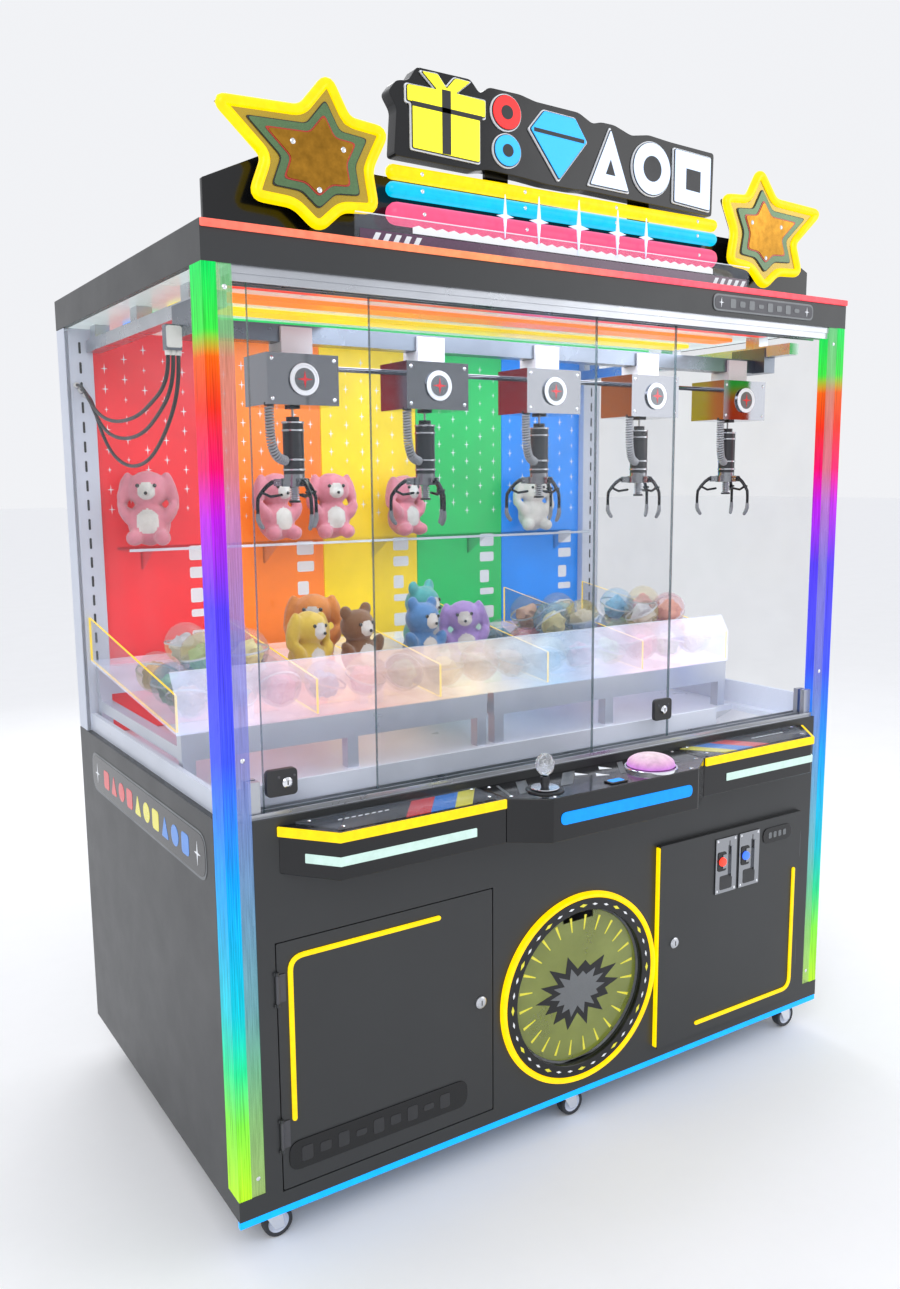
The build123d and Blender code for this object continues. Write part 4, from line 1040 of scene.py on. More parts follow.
def door(name, node, x0, y, keyed, box):
    shape = Shape()
    x1 = x0 + 712
    z0, z1 = SILL_Z + 2, ROOF_Z - 14
    shape.prism([(x0, z0), (x1, z0), (x1, z1), (x0, z1)], y, y + 8, "Y", GLASS, 0.8,
                side=GLASS_EDGE)
    shape.done(name, node.replace("_glass_door", "_door"), (node,))
    fittings = Shape()
    lock(fittings, *box, keyed)
    fittings.done(f"{name}_lock", node.replace("_glass_door", "_door"))


door("left_pane", "left_glass_door", -672.0, FRONT + 15, (-636.0, 852.0),
     (-672.0, -616.0, FRONT + 3, FRONT + 15, 829.0, 875.0))
door("right_pane", "right_glass_door", -445.0, FRONT + 34, (242.0, 863.0),
     (217.0, 267.0, FRONT + 25, FRONT + 34, 840.0, 886.0))

# ---- lower doors ------------------------------------------------------------------------


def hinge_knuckles(shape, x, y, leaf):
    """The door's two hinge knuckles, each a hollow barrel with a leaf."""
    for z in (200.0, 470.0):
        shape.lathe([(1.6, 0), (1.6, 50), (3.1, 50), (3.5, 49.6), (3.5, 0.4), (3.1, 0)], (x, y, z),
                    "Z", DARK_STEEL, 24)
        shape.box(*leaf, z, z + 50, DARK_STEEL, 0.3)


def service_door():
    shape = Shape()
    shape.prism(rounded([(-667, 120), (-220, 120), (-220, 575), (-667, 575)], 4), FRONT,
                FRONT + 6, "Y", CHARCOAL, 1.0)
    line = bend([(-643, 250), (-643, 546), (-343, 546)], 26)
    shape.prism(stroke(line, 9), FRONT - 4.5, FRONT, "Y", YELLOW, 1.6, segments=3)
    shape.prism(rounded([(-655, 150), (-281, 150), (-281, 205), (-655, 205)], 22), FRONT - 2,
                FRONT, "Y", BLACK_GLOSS, 0.6)
    for k in range(9):
        x = -632 + 36 * k
        h = (14, 9, 14, 6)[k % 4]
        shape.prism(bar(x, x + 22, 177 - h, 177 + h, 4), FRONT - 2.6, FRONT - 2, "Y",
                    BLACK, 0.0)
    shape.lathe([(0, -5), (8, -5), (10, -4), (12, -2.5), (12, 0), (0, 0)], (-248, FRONT, 352),
                "Y", STEEL, 28)
    shape.box(-249, -247, FRONT - 5.4, FRONT - 4.8, 347, 357, BLACK, 0.0)
    shape.lathe([(0, 0), (10, 0), (10, 18), (0, 18)], (-248, FRONT + 6, 352), "Y", STEEL, 24)
    hinge_knuckles(shape, -668, FRONT - 3.5, (-668, -652, FRONT - 2, FRONT))
    shape.done("service_door_panel", "service_door", ("service_door",))


def coin_door():
    y = FRONT - 12
    shape = Shape()
    shape.box(209, 372, y, FRONT, 118, 577, CHARCOAL, 0.0)
    shape.box(512, 655, y, FRONT, 118, 577, CHARCOAL, 0.0)
    shape.box(372, 512, y, FRONT, 118, 434, CHARCOAL, 0.0)
    shape.box(372, 512, y, FRONT, 561, 577, CHARCOAL, 0.0)
    shape.box(438, 446, y, FRONT, 434, 561, CHARCOAL, 0.0)
    shape.box(205, 209, y + 1, FRONT - 1, 122, 573, YELLOW, 1.0)
    line = bend([(325, 146), (633, 146), (633, 440)], 26)
    shape.prism(stroke(line, 9), y - 4.5, y, "Y", YELLOW, 1.6, segments=3)
    shape.prism(bar(525, 620, 520, 556, 16), y - 2, y, "Y", BLACK_GLOSS, 0.6)
    for k in range(4):
        shape.prism(bar(543 + 16 * k, 553 + 16 * k, 531, 545, 3), y - 2.5, y - 2, "Y",
                    BADGE_GREY, 0.0)
    shape.lathe([(0, -5), (8, -5), (10, -4), (12, -2.5), (12, 0), (0, 0)], (253, y, 352), "Y",
                STEEL, 28)
    shape.box(252, 254, y - 5.4, y - 4.8, 347, 357, BLACK, 0.0)
    hinge_knuckles(shape, 658.5, FRONT - 6, (655, 658.5, FRONT - 8, FRONT - 4))
    shape.done("coin_door_panel", "coin_door", ("coin_door",))
    plates = Shape()
    for x, glow in ((372.0, RED_LAMP), (446.0, BLUE_LAMP)):
        plates.prism(bar(x + 6, x + 32, 486, 530, 5), y - 4.6, y - 3, "Y", BLACK_GLOSS, 0.4)
        plates.lathe([(0, -7), (7, -7), (9, -6), (10, -3), (10, 0), (0, 0)],
                     (x + 19, y - 3, 508), "Y", glow, 24)
        plates.box(x + 42, x + 44, y - 3.4, y - 3, 520, 552, BLACK, 0.0)
        plates.prism(bar(x + 14, x + 52, 442, 474, 4), y - 3.6, y - 3, "Y", BLACK, 0.0)
        for dx, z in ((6, 440), (60, 440), (6, 555), (60, 555)):
            plates.screw(x + dx, y - 3, z, 3.0)
    plates.done("coin_plate_details", "coin_door")


def prize_door():
    shape = Shape()
    y = FRONT
    shape.lathe([(190, -3), (190.5, -8), (193, -11.4), (196, -12), (199, -11.4), (201.5, -8),
                 (202, -3), (202, 0), (190, 0)], (0, y, FLAP_Z), "Y", RING_YELLOW, 160)
    shape.lathe([(165, 0), (165, -7), (166, -8), (189, -8), (189.8, -7.2), (189.8, 0)],
                (0, y, FLAP_Z), "Y", BLACK_GLOSS, 120)
    for k in range(36):
        a = 2 * pi * k / 36
        cx, cz = 177 * cos(a), 177 * sin(a)
        size = 7 if k % 3 else 10
        outline = [(0 + size * 0.35, 0), (0, size), (-size * 0.35, 0), (0, -size)]
        turned = [(cx + u * cos(a) - v * sin(a), FLAP_Z + cz + u * sin(a) + v * cos(a))
                  for u, v in outline]
        shape.prism(turned, y - 8.5, y - 8, "Y", PRINT_WHITE if k % 3 else PRINT_YELLOW, 0.0)
    for side in (-1, 1):
        shape.box(side * 45, side * 53, FRONT + 6, FRONT + 20, 480, 494, DARK_STEEL, 0.8)
    shape.done("prize_ring", replaced=("prize_door_ring",))
    flap = Shape()
    y = FRONT + 8
    flap.lathe([(0, 0), (159.5, 0), (161, 1), (161, 5), (160, 6), (0, 6)], (0, y, FLAP_Z), "Y",
               FLAP, 128)
    flap.box(-40, 40, y, y + 6, 456, 487, DARK_STEEL, 0.8)
    flap.lathe([(0, 0), (5, 0), (5, 88), (0, 88)], (-44, FRONT + 14, 487), "X", STEEL, 20)
    flap.lathe([(0, 0), (3, 0), (3, 106), (0, 106)], (-53, FRONT + 14, 487), "X", STEEL, 20)
    random.seed(5)
    burst, inner = [], []
    for k in range(28):
        a = 2 * pi * k / 28
        long = k % 2 == 0
        r = 98 * random.uniform(0.82, 1.08) if long else 62 * random.uniform(0.9, 1.1)
        burst.append((r * 1.15 * cos(a), FLAP_Z - 14 + r * 0.8 * sin(a)))
        r *= 0.66
        inner.append((r * 1.15 * cos(a), FLAP_Z - 14 + r * 0.8 * sin(a)))
    flap.prism(burst, y - 0.5, y, "Y", BLACK_GLOSS, 0.0)
    flap.prism(inner, y - 0.9, y - 0.5, "Y", BADGE_GREY, 0.0)
    for k in range(24):
        a = 2 * pi * (k + 0.5) / 24
        ray = [(118, -1.0), (150, -3.0), (150, 3.0), (118, 1.0)]
        turned = [(u * cos(a) - v * sin(a), FLAP_Z + u * sin(a) + v * cos(a)) for u, v in ray]
        flap.prism(turned, y - 0.4, y, "Y", PRINT_YELLOW, 0.0)
    flap.done("flap_disc", "flap", ("prize_flap",))


service_door()
coin_door()
prize_door()

# ---- console ----------------------------------------------------------------------------


def band(x0, x1, slant, y0, y1):
    return [(x0, y0), (x1, y0), (x1 + slant, y1), (x0 + slant, y1)]


def console():
    inner, chamfer, outer = WING_X
    shape = Shape()
    for side in (-1, 1):
        wing = [(side * inner, FRONT), (side * inner, FRONT - WING_REACH),
                (side * chamfer, FRONT - WING_REACH), (side * outer, FRONT)]
        shape.prism(wing, CONSOLE_BOTTOM, CONSOLE_TOP, "Z", BLACK_GLOSS, 2.0, segments=3)
        y0, y1 = FRONT - WING_REACH + 9, FRONT - 5
        bands = ((-585, -455, BLACK), (-455, -405, PRINT_RED), (-405, -355, PRINT_BLUE),
                 (-355, -318, PRINT_YELLOW))
        for x0, x1, material in bands:
            outline = band(x0, x1, 55, y0, y1)
            outline = outline if side < 0 else flip(outline)
            shape.prism(outline, CONSOLE_TOP, CONSOLE_TOP + 0.8, "Z", material, 0.0)
        for k in range(8):
            a, b = -560 + 13 * k, -552 + 13 * k
            outline = band(a, b, 3, FRONT - 30, FRONT - 26)
            outline = outline if side < 0 else flip(outline)
            shape.prism(outline, CONSOLE_TOP + 0.8, CONSOLE_TOP + 1.2, "Z", PRINT_WHITE, 0.0)
        cover = [(-outer + 26, FRONT - 4), (-chamfer + 8, y0 - 2), (-inner - 14, y0 - 2),
                 (-inner - 14, FRONT - 4)]
        cover = cover if side < 0 else flip(cover)
        shape.prism(rounded(cover, 8), CONSOLE_TOP + 1.2, CONSOLE_TOP + 4, "Z", ACRYLIC, 0.5)
        for x, y in ((-inner - 26, FRONT - 14), (-inner - 26, y0 + 8), (-chamfer + 14, y0 + 8),
                     (-outer + 50, FRONT - 14)):
            shape.screw(-side * x if side > 0 else x, y, CONSOLE_TOP + 4, 4.0, "Z", 1)
    centre = [(-250, FRONT), (-250, FRONT - WING_REACH), (-183, NOSE), (183, NOSE),
              (250, FRONT - WING_REACH), (250, FRONT)]
    shape.prism(centre, CONSOLE_BOTTOM, CONSOLE_TOP, "Z", BLACK_GLOSS, 2.0, segments=3)
    for x, r0, r1, h in ((JOY_X, 36, 16, 3), (BUTTON_X, 53, 48.5, 6)):
        shape.lathe([(r1, 0), (r1, h - 0.8), (r1 + 0.8, h), (r0 - 1.2, h), (r0, h - 1.2), (r0, 0)],
                    (x, JOY_Y, CONSOLE_TOP), "Z", CHROME if x > 0 else BLACK, 64)
    shape.done("console_body", replaced=("control_console",))

    top = Shape()
    ribbons = ((-238, -232, 18), (-214, -190, 40), (-120, -90, 60), (30, 44, 50), (176, 190, -30))
    for x0, x1, slant in ribbons:
        top.prism(band(x0, x1, slant, FRONT - 80, FRONT - 12), CONSOLE_TOP, CONSOLE_TOP + 0.5,
                  "Z", BADGE_GREY, 0.0)
    for x, y in ((-52, -40), (-20, -66), (16, -32)):
        top.prism([(x, FRONT + y), (x + 26, FRONT + y - 8), (x + 12, FRONT + y + 16)],
                  CONSOLE_TOP, CONSOLE_TOP + 0.6, "Z", PRINT_WHITE, 0.0)
    top.prism(bar(-36, 6, FRONT - 128, FRONT - 104, 3), CONSOLE_TOP, CONSOLE_TOP + 3, "Z",
              BLACK_GLOSS, 0.6)
    top.prism(bar(-30, 0, FRONT - 124, FRONT - 108, 2), CONSOLE_TOP + 3, CONSOLE_TOP + 3.5, "Z",
              BLUE_BAR, 0.0)
    for x, y in ((-234, -10), (234, -10), (-172, -128), (172, -128), (-234, -80), (234, -80)):
        top.screw(x, FRONT + y, CONSOLE_TOP, 4.5, "Z", 1)
    top.done("console_top_prints")


def plan_ribbon(points, thickness):
    """A band of some thickness on the outside of a line in plan, as one outline."""
    pts = [Vector(p) for p in points]
    outer = []
    for i, p in enumerate(pts):
        a = (p - pts[i - 1]).normalized() if i else None
        b = (pts[i + 1] - p).normalized() if i < len(pts) - 1 else None
        a, b = a or b, b or a
        na, nb = Vector((a.y, -a.x)), Vector((b.y, -b.x))
        mid = na + nb
        outer.append(p + mid * (2 / mid.length_squared) * thickness)
    return [tuple(p) for p in pts] + [tuple(p) for p in reversed(outer)]


def strips():
    inner, chamfer, outer = WING_X
    shape = Shape()
    shape.box(-HALF, HALF, FRONT, FRONT + 10, 76, BASE_Z, CYAN_STRIP, 2.0)
    shape.box(-HALF, HALF, FRONT - 5, FRONT, ROOF_TOP - 12, ROOF_TOP, CANOPY_STRIP, 2.0)
    y = FRONT - WING_REACH
    share = WING_REACH / (outer - chamfer)
    for side in (-1, 1):
        edge = [(-outer, FRONT), (-chamfer, y), (-inner - 2, y)]
        white = [(-chamfer - 40, y + 40 * share), (-chamfer, y), (-inner - 66, y)]
        if side > 0:
            edge, white = flip(edge), flip(white)
        shape.prism(plan_ribbon(edge, 5), CONSOLE_TOP - 17, CONSOLE_TOP, "Z", YELLOW, 1.5,
                    segments=3)
        shape.prism(plan_ribbon(white, 3), 722, 738, "Z", MINT, 1.2, segments=3)
    shape.prism(bar(-165, 165, 727, 751), FRONT - 140, NOSE, "Y", BLUE_BAR, 0.6)
    shape.done("light_strips_lit", replaced=("light_strips",))


def joystick():
    shape = Shape()
    z = CONSOLE_TOP - 26
    shape.lathe([(0, -20), (5, -20), (5, 52), (0, 52)], (JOY_X, JOY_Y, z), "Z", STEEL, 24)
    shape.lathe([(0, 0), (7, 0), (7, 33.4), (0, 33.4)], (JOY_X, JOY_Y - 16.7, z), "Y", BLACK, 32)
    shape.lathe([(5, 30), (26, 30.5), (27, 31.5), (26, 32.5), (5, 33)], (JOY_X, JOY_Y, z), "Z",
                CHROME, 40)
    shape.lathe([(0, 33), (7, 33), (9, 40), (8, 52), (0, 52)], (JOY_X, JOY_Y, z), "Z", BLACK, 28)
    shape.done("stick_shaft", "stick", ("joystick",))
    knob = Shape()
    rows, cols = 36, 56
    seeds = []
    for k in range(46):
        t = (k + 0.5) / 46
        polar, turn = 1 - 2 * t, k * pi * (3 - sqrt(5))
        w = sqrt(1 - polar * polar)
        seeds.append(Vector((w * cos(turn), w * sin(turn), polar)))
    centre = Vector((JOY_X, JOY_Y, z + 75))
    verts, faces = [], []
    for i in range(rows + 1):
        a = pi * i / rows
        for j in range(cols):
            b = 2 * pi * j / cols
            d = Vector((sin(a) * cos(b), sin(a) * sin(b), cos(a)))
            near = max(d.dot(s) for s in seeds)
            bulge = sqrt(max(0.0, 1 - min(1.0, (1 - near) / 0.055)))
            reach = Vector((d.x * 18.2, d.y * 18.2, d.z * 21.5))
            verts.append(centre + reach * (0.87 + 0.13 * bulge))
    for i in range(rows):
        for j in range(cols):
            a, b = i * cols + j, i * cols + (j + 1) % cols
            faces.append([a, b, b + cols, a + cols])
    part = bmesh.new()
    made = [part.verts.new(v * MM) for v in verts]
    for f in faces:
        part.faces.new([made[i] for i in f])
    bmesh.ops.remove_doubles(part, verts=part.verts, dist=1e-6)
    bmesh.ops.recalc_face_normals(part, faces=part.faces)
    for f in part.faces:
        f.smooth = True
    mesh = bpy.data.meshes.new("knob")
    part.to_mesh(mesh)
    knob.bm.from_mesh(mesh)
    knob.index(CRYSTAL)
    knob.done("stick_knob", "stick")


def push_button():
    shape = Shape()
    profile = [(0, 31)]
    for k in range(1, 13):
        a = (pi / 2) * k / 12
        profile.append((46.5 * sin(a), 12 + 19 * cos(a)))
    profile += [(47.5, 10), (47.5, 8), (19, 8), (19, -24), (0, -24)]
    shape.lathe(profile, (BUTTON_X, BUTTON_Y, CONSOLE_TOP), "Z", PEARL, 72)
    shape.done("button_dome", "button", ("push_button",))


console()
strips()
joystick()
push_button()

# ---- badge on the sides -----------------------------------------------------------------


def side_badges():
    for side, name in ((-1, "left"), (1, "right")):
        shape = Shape()
        x = side * HALF
        def plate(outline, depth, thick, material, bevel=0.0):
            a, b = sorted((x + side * depth, x + side * (depth + thick)))
            shape.prism(outline, a, b, "X", material, bevel)
        plate(rounded([(-289, 671), (422, 671), (422, 758), (-289, 758)], 34), 0, 0.8, BADGE_GREY)
        plate(rounded([(-284, 676), (417, 676), (417, 753), (-284, 753)], 30), 0.8, 0.5,
              BLACK_GLOSS)
        for y in (-246, 380):
            plate(sparkle(y, 714, 22), 1.3, 0.4, PRINT_WHITE)
        colours = (PRINT_BLUE, PRINT_BLUE, PRINT_BLUE, PRINT_YELLOW, PRINT_YELLOW, PRINT_YELLOW,
                   PRINT_RED, PRINT_RED, PRINT_RED, PRINT_RED)
        for k, material in enumerate(colours):
            y = -204 + 55 * k
            if k % 3 == 0:
                outline = bar(y, y + 38, 694, 734, 8)
            elif k % 3 == 1:
                outline = [(y + 19 + 20 * cos(2 * pi * j / 24), 714 + 20 * sin(2 * pi * j / 24))
                           for j in range(24)]
            else:
                outline = rounded([(y, 694), (y + 38, 694), (y + 19, 736)], 5)
            plate(outline, 1.3, 0.4, material)
        shape.done(f"{name}_side_badge")
    vents = Shape()
    for x in (-380, 380):
        for k in range(12):
            z = 330 + 22 * k
            vents.prism(bar(x - 110, x + 110, z, z + 9), BACK - 1.5, BACK + 0.4, "Y", BLACK, 0.0)
    vents.box(-60, 60, BACK - 1, BACK + 0.8, 180, 240, BLACK, 1.0)
    for x in (-720, -360, 0, 360, 720):
        for z in (105, 440, 780):
            vents.screw(x, BACK, z, 5.0, "Y", 1, DARK_STEEL)
    vents.done("rear_vents")


side_badges()

# ---- tray -------------------------------------------------------------------------------


def tray_top(y):
    return TRAY_Z0 + TRAY_T + (y - TRAY_Y0) / (TRAY_Y1 - TRAY_Y0) * (TRAY_Z1 - TRAY_Z0)


def tray():
    x1 = TRAY_X0 + LANES * LANE
    y_in = TRAY_Y0 + TRAY_T
    fold = 967
    shape = Shape()
    shape.prism([(y_in, tray_top(y_in) - TRAY_T), (TRAY_Y1, TRAY_Z1), (TRAY_Y1, TRAY_Z1 + TRAY_T),
                 (y_in, tray_top(y_in))], TRAY_X0, x1, "X", MILKY_PAINTED_GLOW, 0.5)
    shape.box(TRAY_X0, x1, TRAY_Y0, y_in, TRAY_Z0, fold, MILKY_PAINTED_GLOW, 0.5)
    shape.prism([(TRAY_Y0, fold), (y_in, fold), (y_in + 24, 1005), (TRAY_Y0 + 24, 1005)],
                TRAY_X0, x1, "X", MILKY_PAINTED_GLOW, 0.5)
    # Top edge strip of the tray front, with the painted glow of the acrylic edge.
    shape.box(TRAY_X0, x1, TRAY_Y0 + 24, y_in + 24, 1005, 1006, ACRYLIC_EDGE_PAINTED_GLOW, 0.0)
    for k in range(LANES + 1):
        x = TRAY_X0 + k * LANE
        x = min(max(x - TRAY_T / 2, TRAY_X0), x1 - TRAY_T)
        wall = [(y_in, tray_top(y_in)), (TRAY_Y1, TRAY_Z1 + TRAY_T), (TRAY_Y1, 1051), (y_in, fold)]
        shape.prism(wall, x, x + TRAY_T, "X", ACRYLIC, 0.4, side=EDGE_YELLOW)
    shape.done("tray_acrylic", replaced=("prize_tray",))


tray()

# ---- gantry details and claws -----------------------------------------------------------


def gantry_details():
    shape = Shape()
    for x in CLAW_XS:
        y = CLAW_Y - 54
        shape.lathe([(0, -1.2), (21, -1.2), (21.5, -0.6), (24, -0.6), (24.5, -1.6), (27.5, -1.6),
                     (28, 0), (0, 0)], (x, y, 1524), "Y", PRINT_WHITE, 48)
        shape.lathe([(0, -1.8), (19, -1.8), (19.5, -1.2), (0, -1.2)], (x, y, 1524), "Y",
                    BADGE_GREY, 48)
        shape.prism(sparkle(x, 1524, 15, 0.22, 1.0), y - 2.3, y - 1.8, "Y", PRINT_RED, 0.0)
        for dx in (-60, 60):
            for z in (1490, 1558):
                shape.screw(x + dx, CLAW_Y - 50, z, 3.5)
        shape.box(x - 10, x + 10, CLAW_Y - 12, CLAW_Y + 12, 1476, 1480, BLACK, 1.0)
        r = 70
        cx, cy = x + r * cos(CURLY_AZIMUTH), CLAW_Y + r * sin(CURLY_AZIMUTH)
        shape.lathe([(0, 0), (8, 0), (9, 2), (9, 6), (0, 6)], (cx, cy, 1478), "Z", BLACK, 20)
    shape.done("winch_details", "carriage")
    links = Shape()
    links.prism(bar(-735, -708, 1572, 1608, 4), CLAW_Y + 3.2, CLAW_Y + 4, "Y", CONNECTOR, 0.0)
    for x in CABLE_X:
        links.lathe([(0, 0), (5.2, 0), (5.2, 9), (4.2, 12), (0, 12)], (x, -151, 1560), "Z",
                    CONNECTOR, 20)
    links.done("cable_plugs", "bridge")
    clamps = Shape()
    for x, route in zip(CABLE_X, CABLE_ROUTES):
        y, z = route[0]
        clamps.lathe([(0, -3), (6, -3), (6, -10), (4.6, -14), (0, -14)], (x, y + 2, z), "Y",
                     CONNECTOR, 20)
    clamps.done("cable_clamps")


def claw_details():
    shape = Shape()
    lines = Shape()
    for x in CLAW_XS:
        for z in (1366, 1384, 1436, 1450):
            shape.lathe([(19, 0), (20.6, 0.6), (20.6, 3.4), (19, 4)], (x, CLAW_Y, z), "Z",
                        STEEL, 36)
        coil = []
        for k in range(6 * 14 + 1):
            a = 2 * pi * k / 14
            coil.append((x + 8 * cos(a), CLAW_Y + 8 * sin(a), 1337 - 24 * k / 84))
        shape.tube(coil, 1.1, STEEL, sides=8)
        shape.lathe([(0, 0), (10, 0), (11, 1.5), (10, 4), (0, 4)], (x, CLAW_Y, 1309), "Z",
                    BLACK, 28)
        lines.tube([(x, CLAW_Y, 1480 - 18 * k / 12) for k in range(13)], 2.0, LINE, sides=10,
                   round_ends=False)
    shape.done("claw_details", "claws")
    piece = lines.done("hoist_line_strands", None, ("hoist_lines",))
    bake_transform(piece)


ARM_BLACK = surface("arm_black", (0.035, 0.036, 0.04), 0.25, 0.8, 900.0, 0.0001, 0.2)
ARM_PATH = ((32, 0), (40, 1), (50, -6), (60, -17), (67, -28), (68, -40), (68, -62))
TIP_PATH = ((68, -58), (68, -66), (65, -74), (60, -81))


def fingers():
    for azimuth, label in ((-90, "front"), (30, "right"), (150, "left")):
        a = radians(azimuth)
        shape = Shape()
        for i, x in enumerate(CLAW_XS):
            def at(p, x=x):
                r, dz = p
                return (x + r * cos(a), CLAW_Y + r * sin(a), PIVOT_Z + dz)
            side = (-sin(a) * 5.2, cos(a) * 5.2, 0)
            shape.tube([at(p) for p in ARM_PATH], (4.2, 4.2, 3.8, 3.6, 3.4, 3.2, 3.2), ARM_BLACK)
            shape.tube([at(p) for p in ((60, -17), (44, -25), (24, -22))], 2.6, ARM_BLACK)
            shape.tube([at(p) for p in TIP_PATH], (3.9, 4.4, 4.4, 3.8), TIP_GREY)
            px, py, pz = at((32, 0))
            shape.tube([(px - side[0], py - side[1], pz), (px + side[0], py + side[1], pz)],
                       1.95, CHROME, sides=12)
            kx, ky, kz = at((60, -17))
            shape.tube([(kx - side[0], ky - side[1], kz), (kx + side[0], ky + side[1], kz)],
                       2.4, BLACK, sides=12)
            if label != "front":
                name = f"{label}_finger_{i + 1}"
                shape.done(f"{name}_arm", name, (name,))
                shape = Shape()
        if label == "front":
            shape.done("front_finger_arms", "front_fingers", ("front_claw_fingers",))


gantry_details()
claw_details()
fingers()

# ---- casters ----------------------------------------------------------------------------


def wheels():
    for row, y in (("front", FRONT + 55), ("rear", BACK - 55)):
        for side, x in (("left", -680), ("middle", 0), ("right", 680)):
            shape = Shape()
            cx = x + 20
            tread = [(20, -9.5), (24, -10.6), (26.6, -10.2), (27.8, -7), (28, -3), (27.2, -1),
                     (27.2, 1), (28, 3), (27.8, 7), (26.6, 10.2), (24, 10.6), (20, 9.5)]
            shape.lathe(tread, (cx, y, 28), "Y", RUBBER, 64)
            hub = [(4.1, -11), (9, -11), (10, -9), (17, -7), (20.4, -9.4), (20.4, 9.4), (17, 7),
                   (10, 9), (9, 11), (4.1, 11)]
            shape.lathe(hub, (cx, y, 28), "Y", POST_WHITE, 48)
            name = f"{row}_{side}"
            shape.done(f"{name}_tyre", f"{name}_wheel", (f"{name}_caster_wheel",))


wheels()

# ---- prizes -----------------------------------------------------------------------------

TOY_COLOURS = {
    "pink": (0.85, 0.30, 0.38), "blue": (0.10, 0.28, 0.62), "yellow": (0.88, 0.62, 0.08),
    "brown": (0.26, 0.12, 0.05), "white": (0.85, 0.82, 0.78), "teal": (0.10, 0.50, 0.50),
    "orange": (0.85, 0.30, 0.06), "lilac": (0.48, 0.32, 0.75),
}
TOYS = {key: fabric(f"plush_{key}", colour) for key, colour in TOY_COLOURS.items()}
BEAD = surface("bead_black", (0.01, 0.01, 0.01), 0.1, 0.0, coat=1.0)


def ellipsoid(bm, centre, radii, turn=None):
    matrix = Matrix.Translation(centre)
    if turn:
        matrix = matrix @ turn
    matrix = matrix @ Matrix.Diagonal((*radii, 1.0))
    bmesh.ops.create_icosphere(bm, subdivisions=3, radius=1.0, matrix=matrix)


def evaluated(obj):
    """The object's mesh with its modifiers, as a new mesh."""
    return bpy.data.meshes.new_from_object(obj.evaluated_get(
        bpy.context.evaluated_depsgraph_get()))


def stuffed(mesh, reach):
    """Fills a sewn skin by a short cloth simulation under pressure, moving no point past reach."""
    obj = bpy.data.objects.new("stuffing", mesh)
    bpy.context.scene.collection.objects.link(obj)
    cloth = obj.modifiers.new("cloth", "CLOTH")
    cloth.settings.use_pressure = True
    cloth.settings.uniform_pressure_force = 4.0
    cloth.settings.effector_weights.gravity = 0.0
    for frame_number in range(1, 21):
        bpy.context.scene.frame_set(frame_number)
    skin = evaluated(obj)
    bpy.context.scene.frame_set(1)
    for v, old in zip(skin.vertices, mesh.vertices):
        move = v.co - old.co
        if move.length > reach:
            v.co = old.co + move * (reach / move.length)
    bpy.data.objects.remove(obj)
    return skin


def toy_mesh(kind):
    """A stuffed toy, one unit to the body's radius: limbs united in one skin, then stuffed."""
    bm = bmesh.new()
    ellipsoid(bm, (0, 0, 0.92), (0.88, 0.80, 0.94))
    ellipsoid(bm, (0, -0.06, 2.30), (0.84, 0.76, 0.76))
    ellipsoid(bm, (0, -0.66, 2.12), (0.34, 0.28, 0.26))
    for s in (-1, 1):
        ellipsoid(bm, (s * 0.56, -0.60, 0.34), (0.34, 0.46, 0.34))
        ellipsoid(bm, (s * 0.86, -0.34, 1.30), (0.26, 0.34, 0.52), Matrix.Rotation(s * 0.5, 4, "Y"))
        if kind == "rabbit":
            ellipsoid(bm, (s * 0.94, -0.05, 2.20), (0.26, 0.34, 0.86),
                      Matrix.Rotation(s * -0.22, 4, "Y"))
        else:
            ellipsoid(bm, (s * 0.60, 0.0, 3.0), (0.32, 0.18, 0.32))
    mesh = bpy.data.meshes.new(kind)
    bm.to_mesh(mesh)
    bm.free()
    obj = bpy.data.objects.new(kind, mesh)
    bpy.context.scene.collection.objects.link(obj)
    remesh = obj.modifiers.new("skin", "REMESH")
    remesh.mode = "VOXEL"
    remesh.voxel_size = 0.08
    soft = obj.modifiers.new("soft", "SMOOTH")
    soft.iterations = 3
    soft.factor = 0.5
    bpy.context.view_layer.update()
    skin = evaluated(obj)
    bpy.data.objects.remove(obj)
    skin.transform(Matrix.Scale(TOY_UNIT, 4))
    skin = stuffed(skin, 0.06 * TOY_UNIT)
    skin.transform(Matrix.Scale(1 / TOY_UNIT, 4))
    return skin


TOY_UNIT = 0.054  # metres: the largest toy's body radius
SKINS = {kind: toy_mesh(kind) for kind in ("rabbit", "bear")}


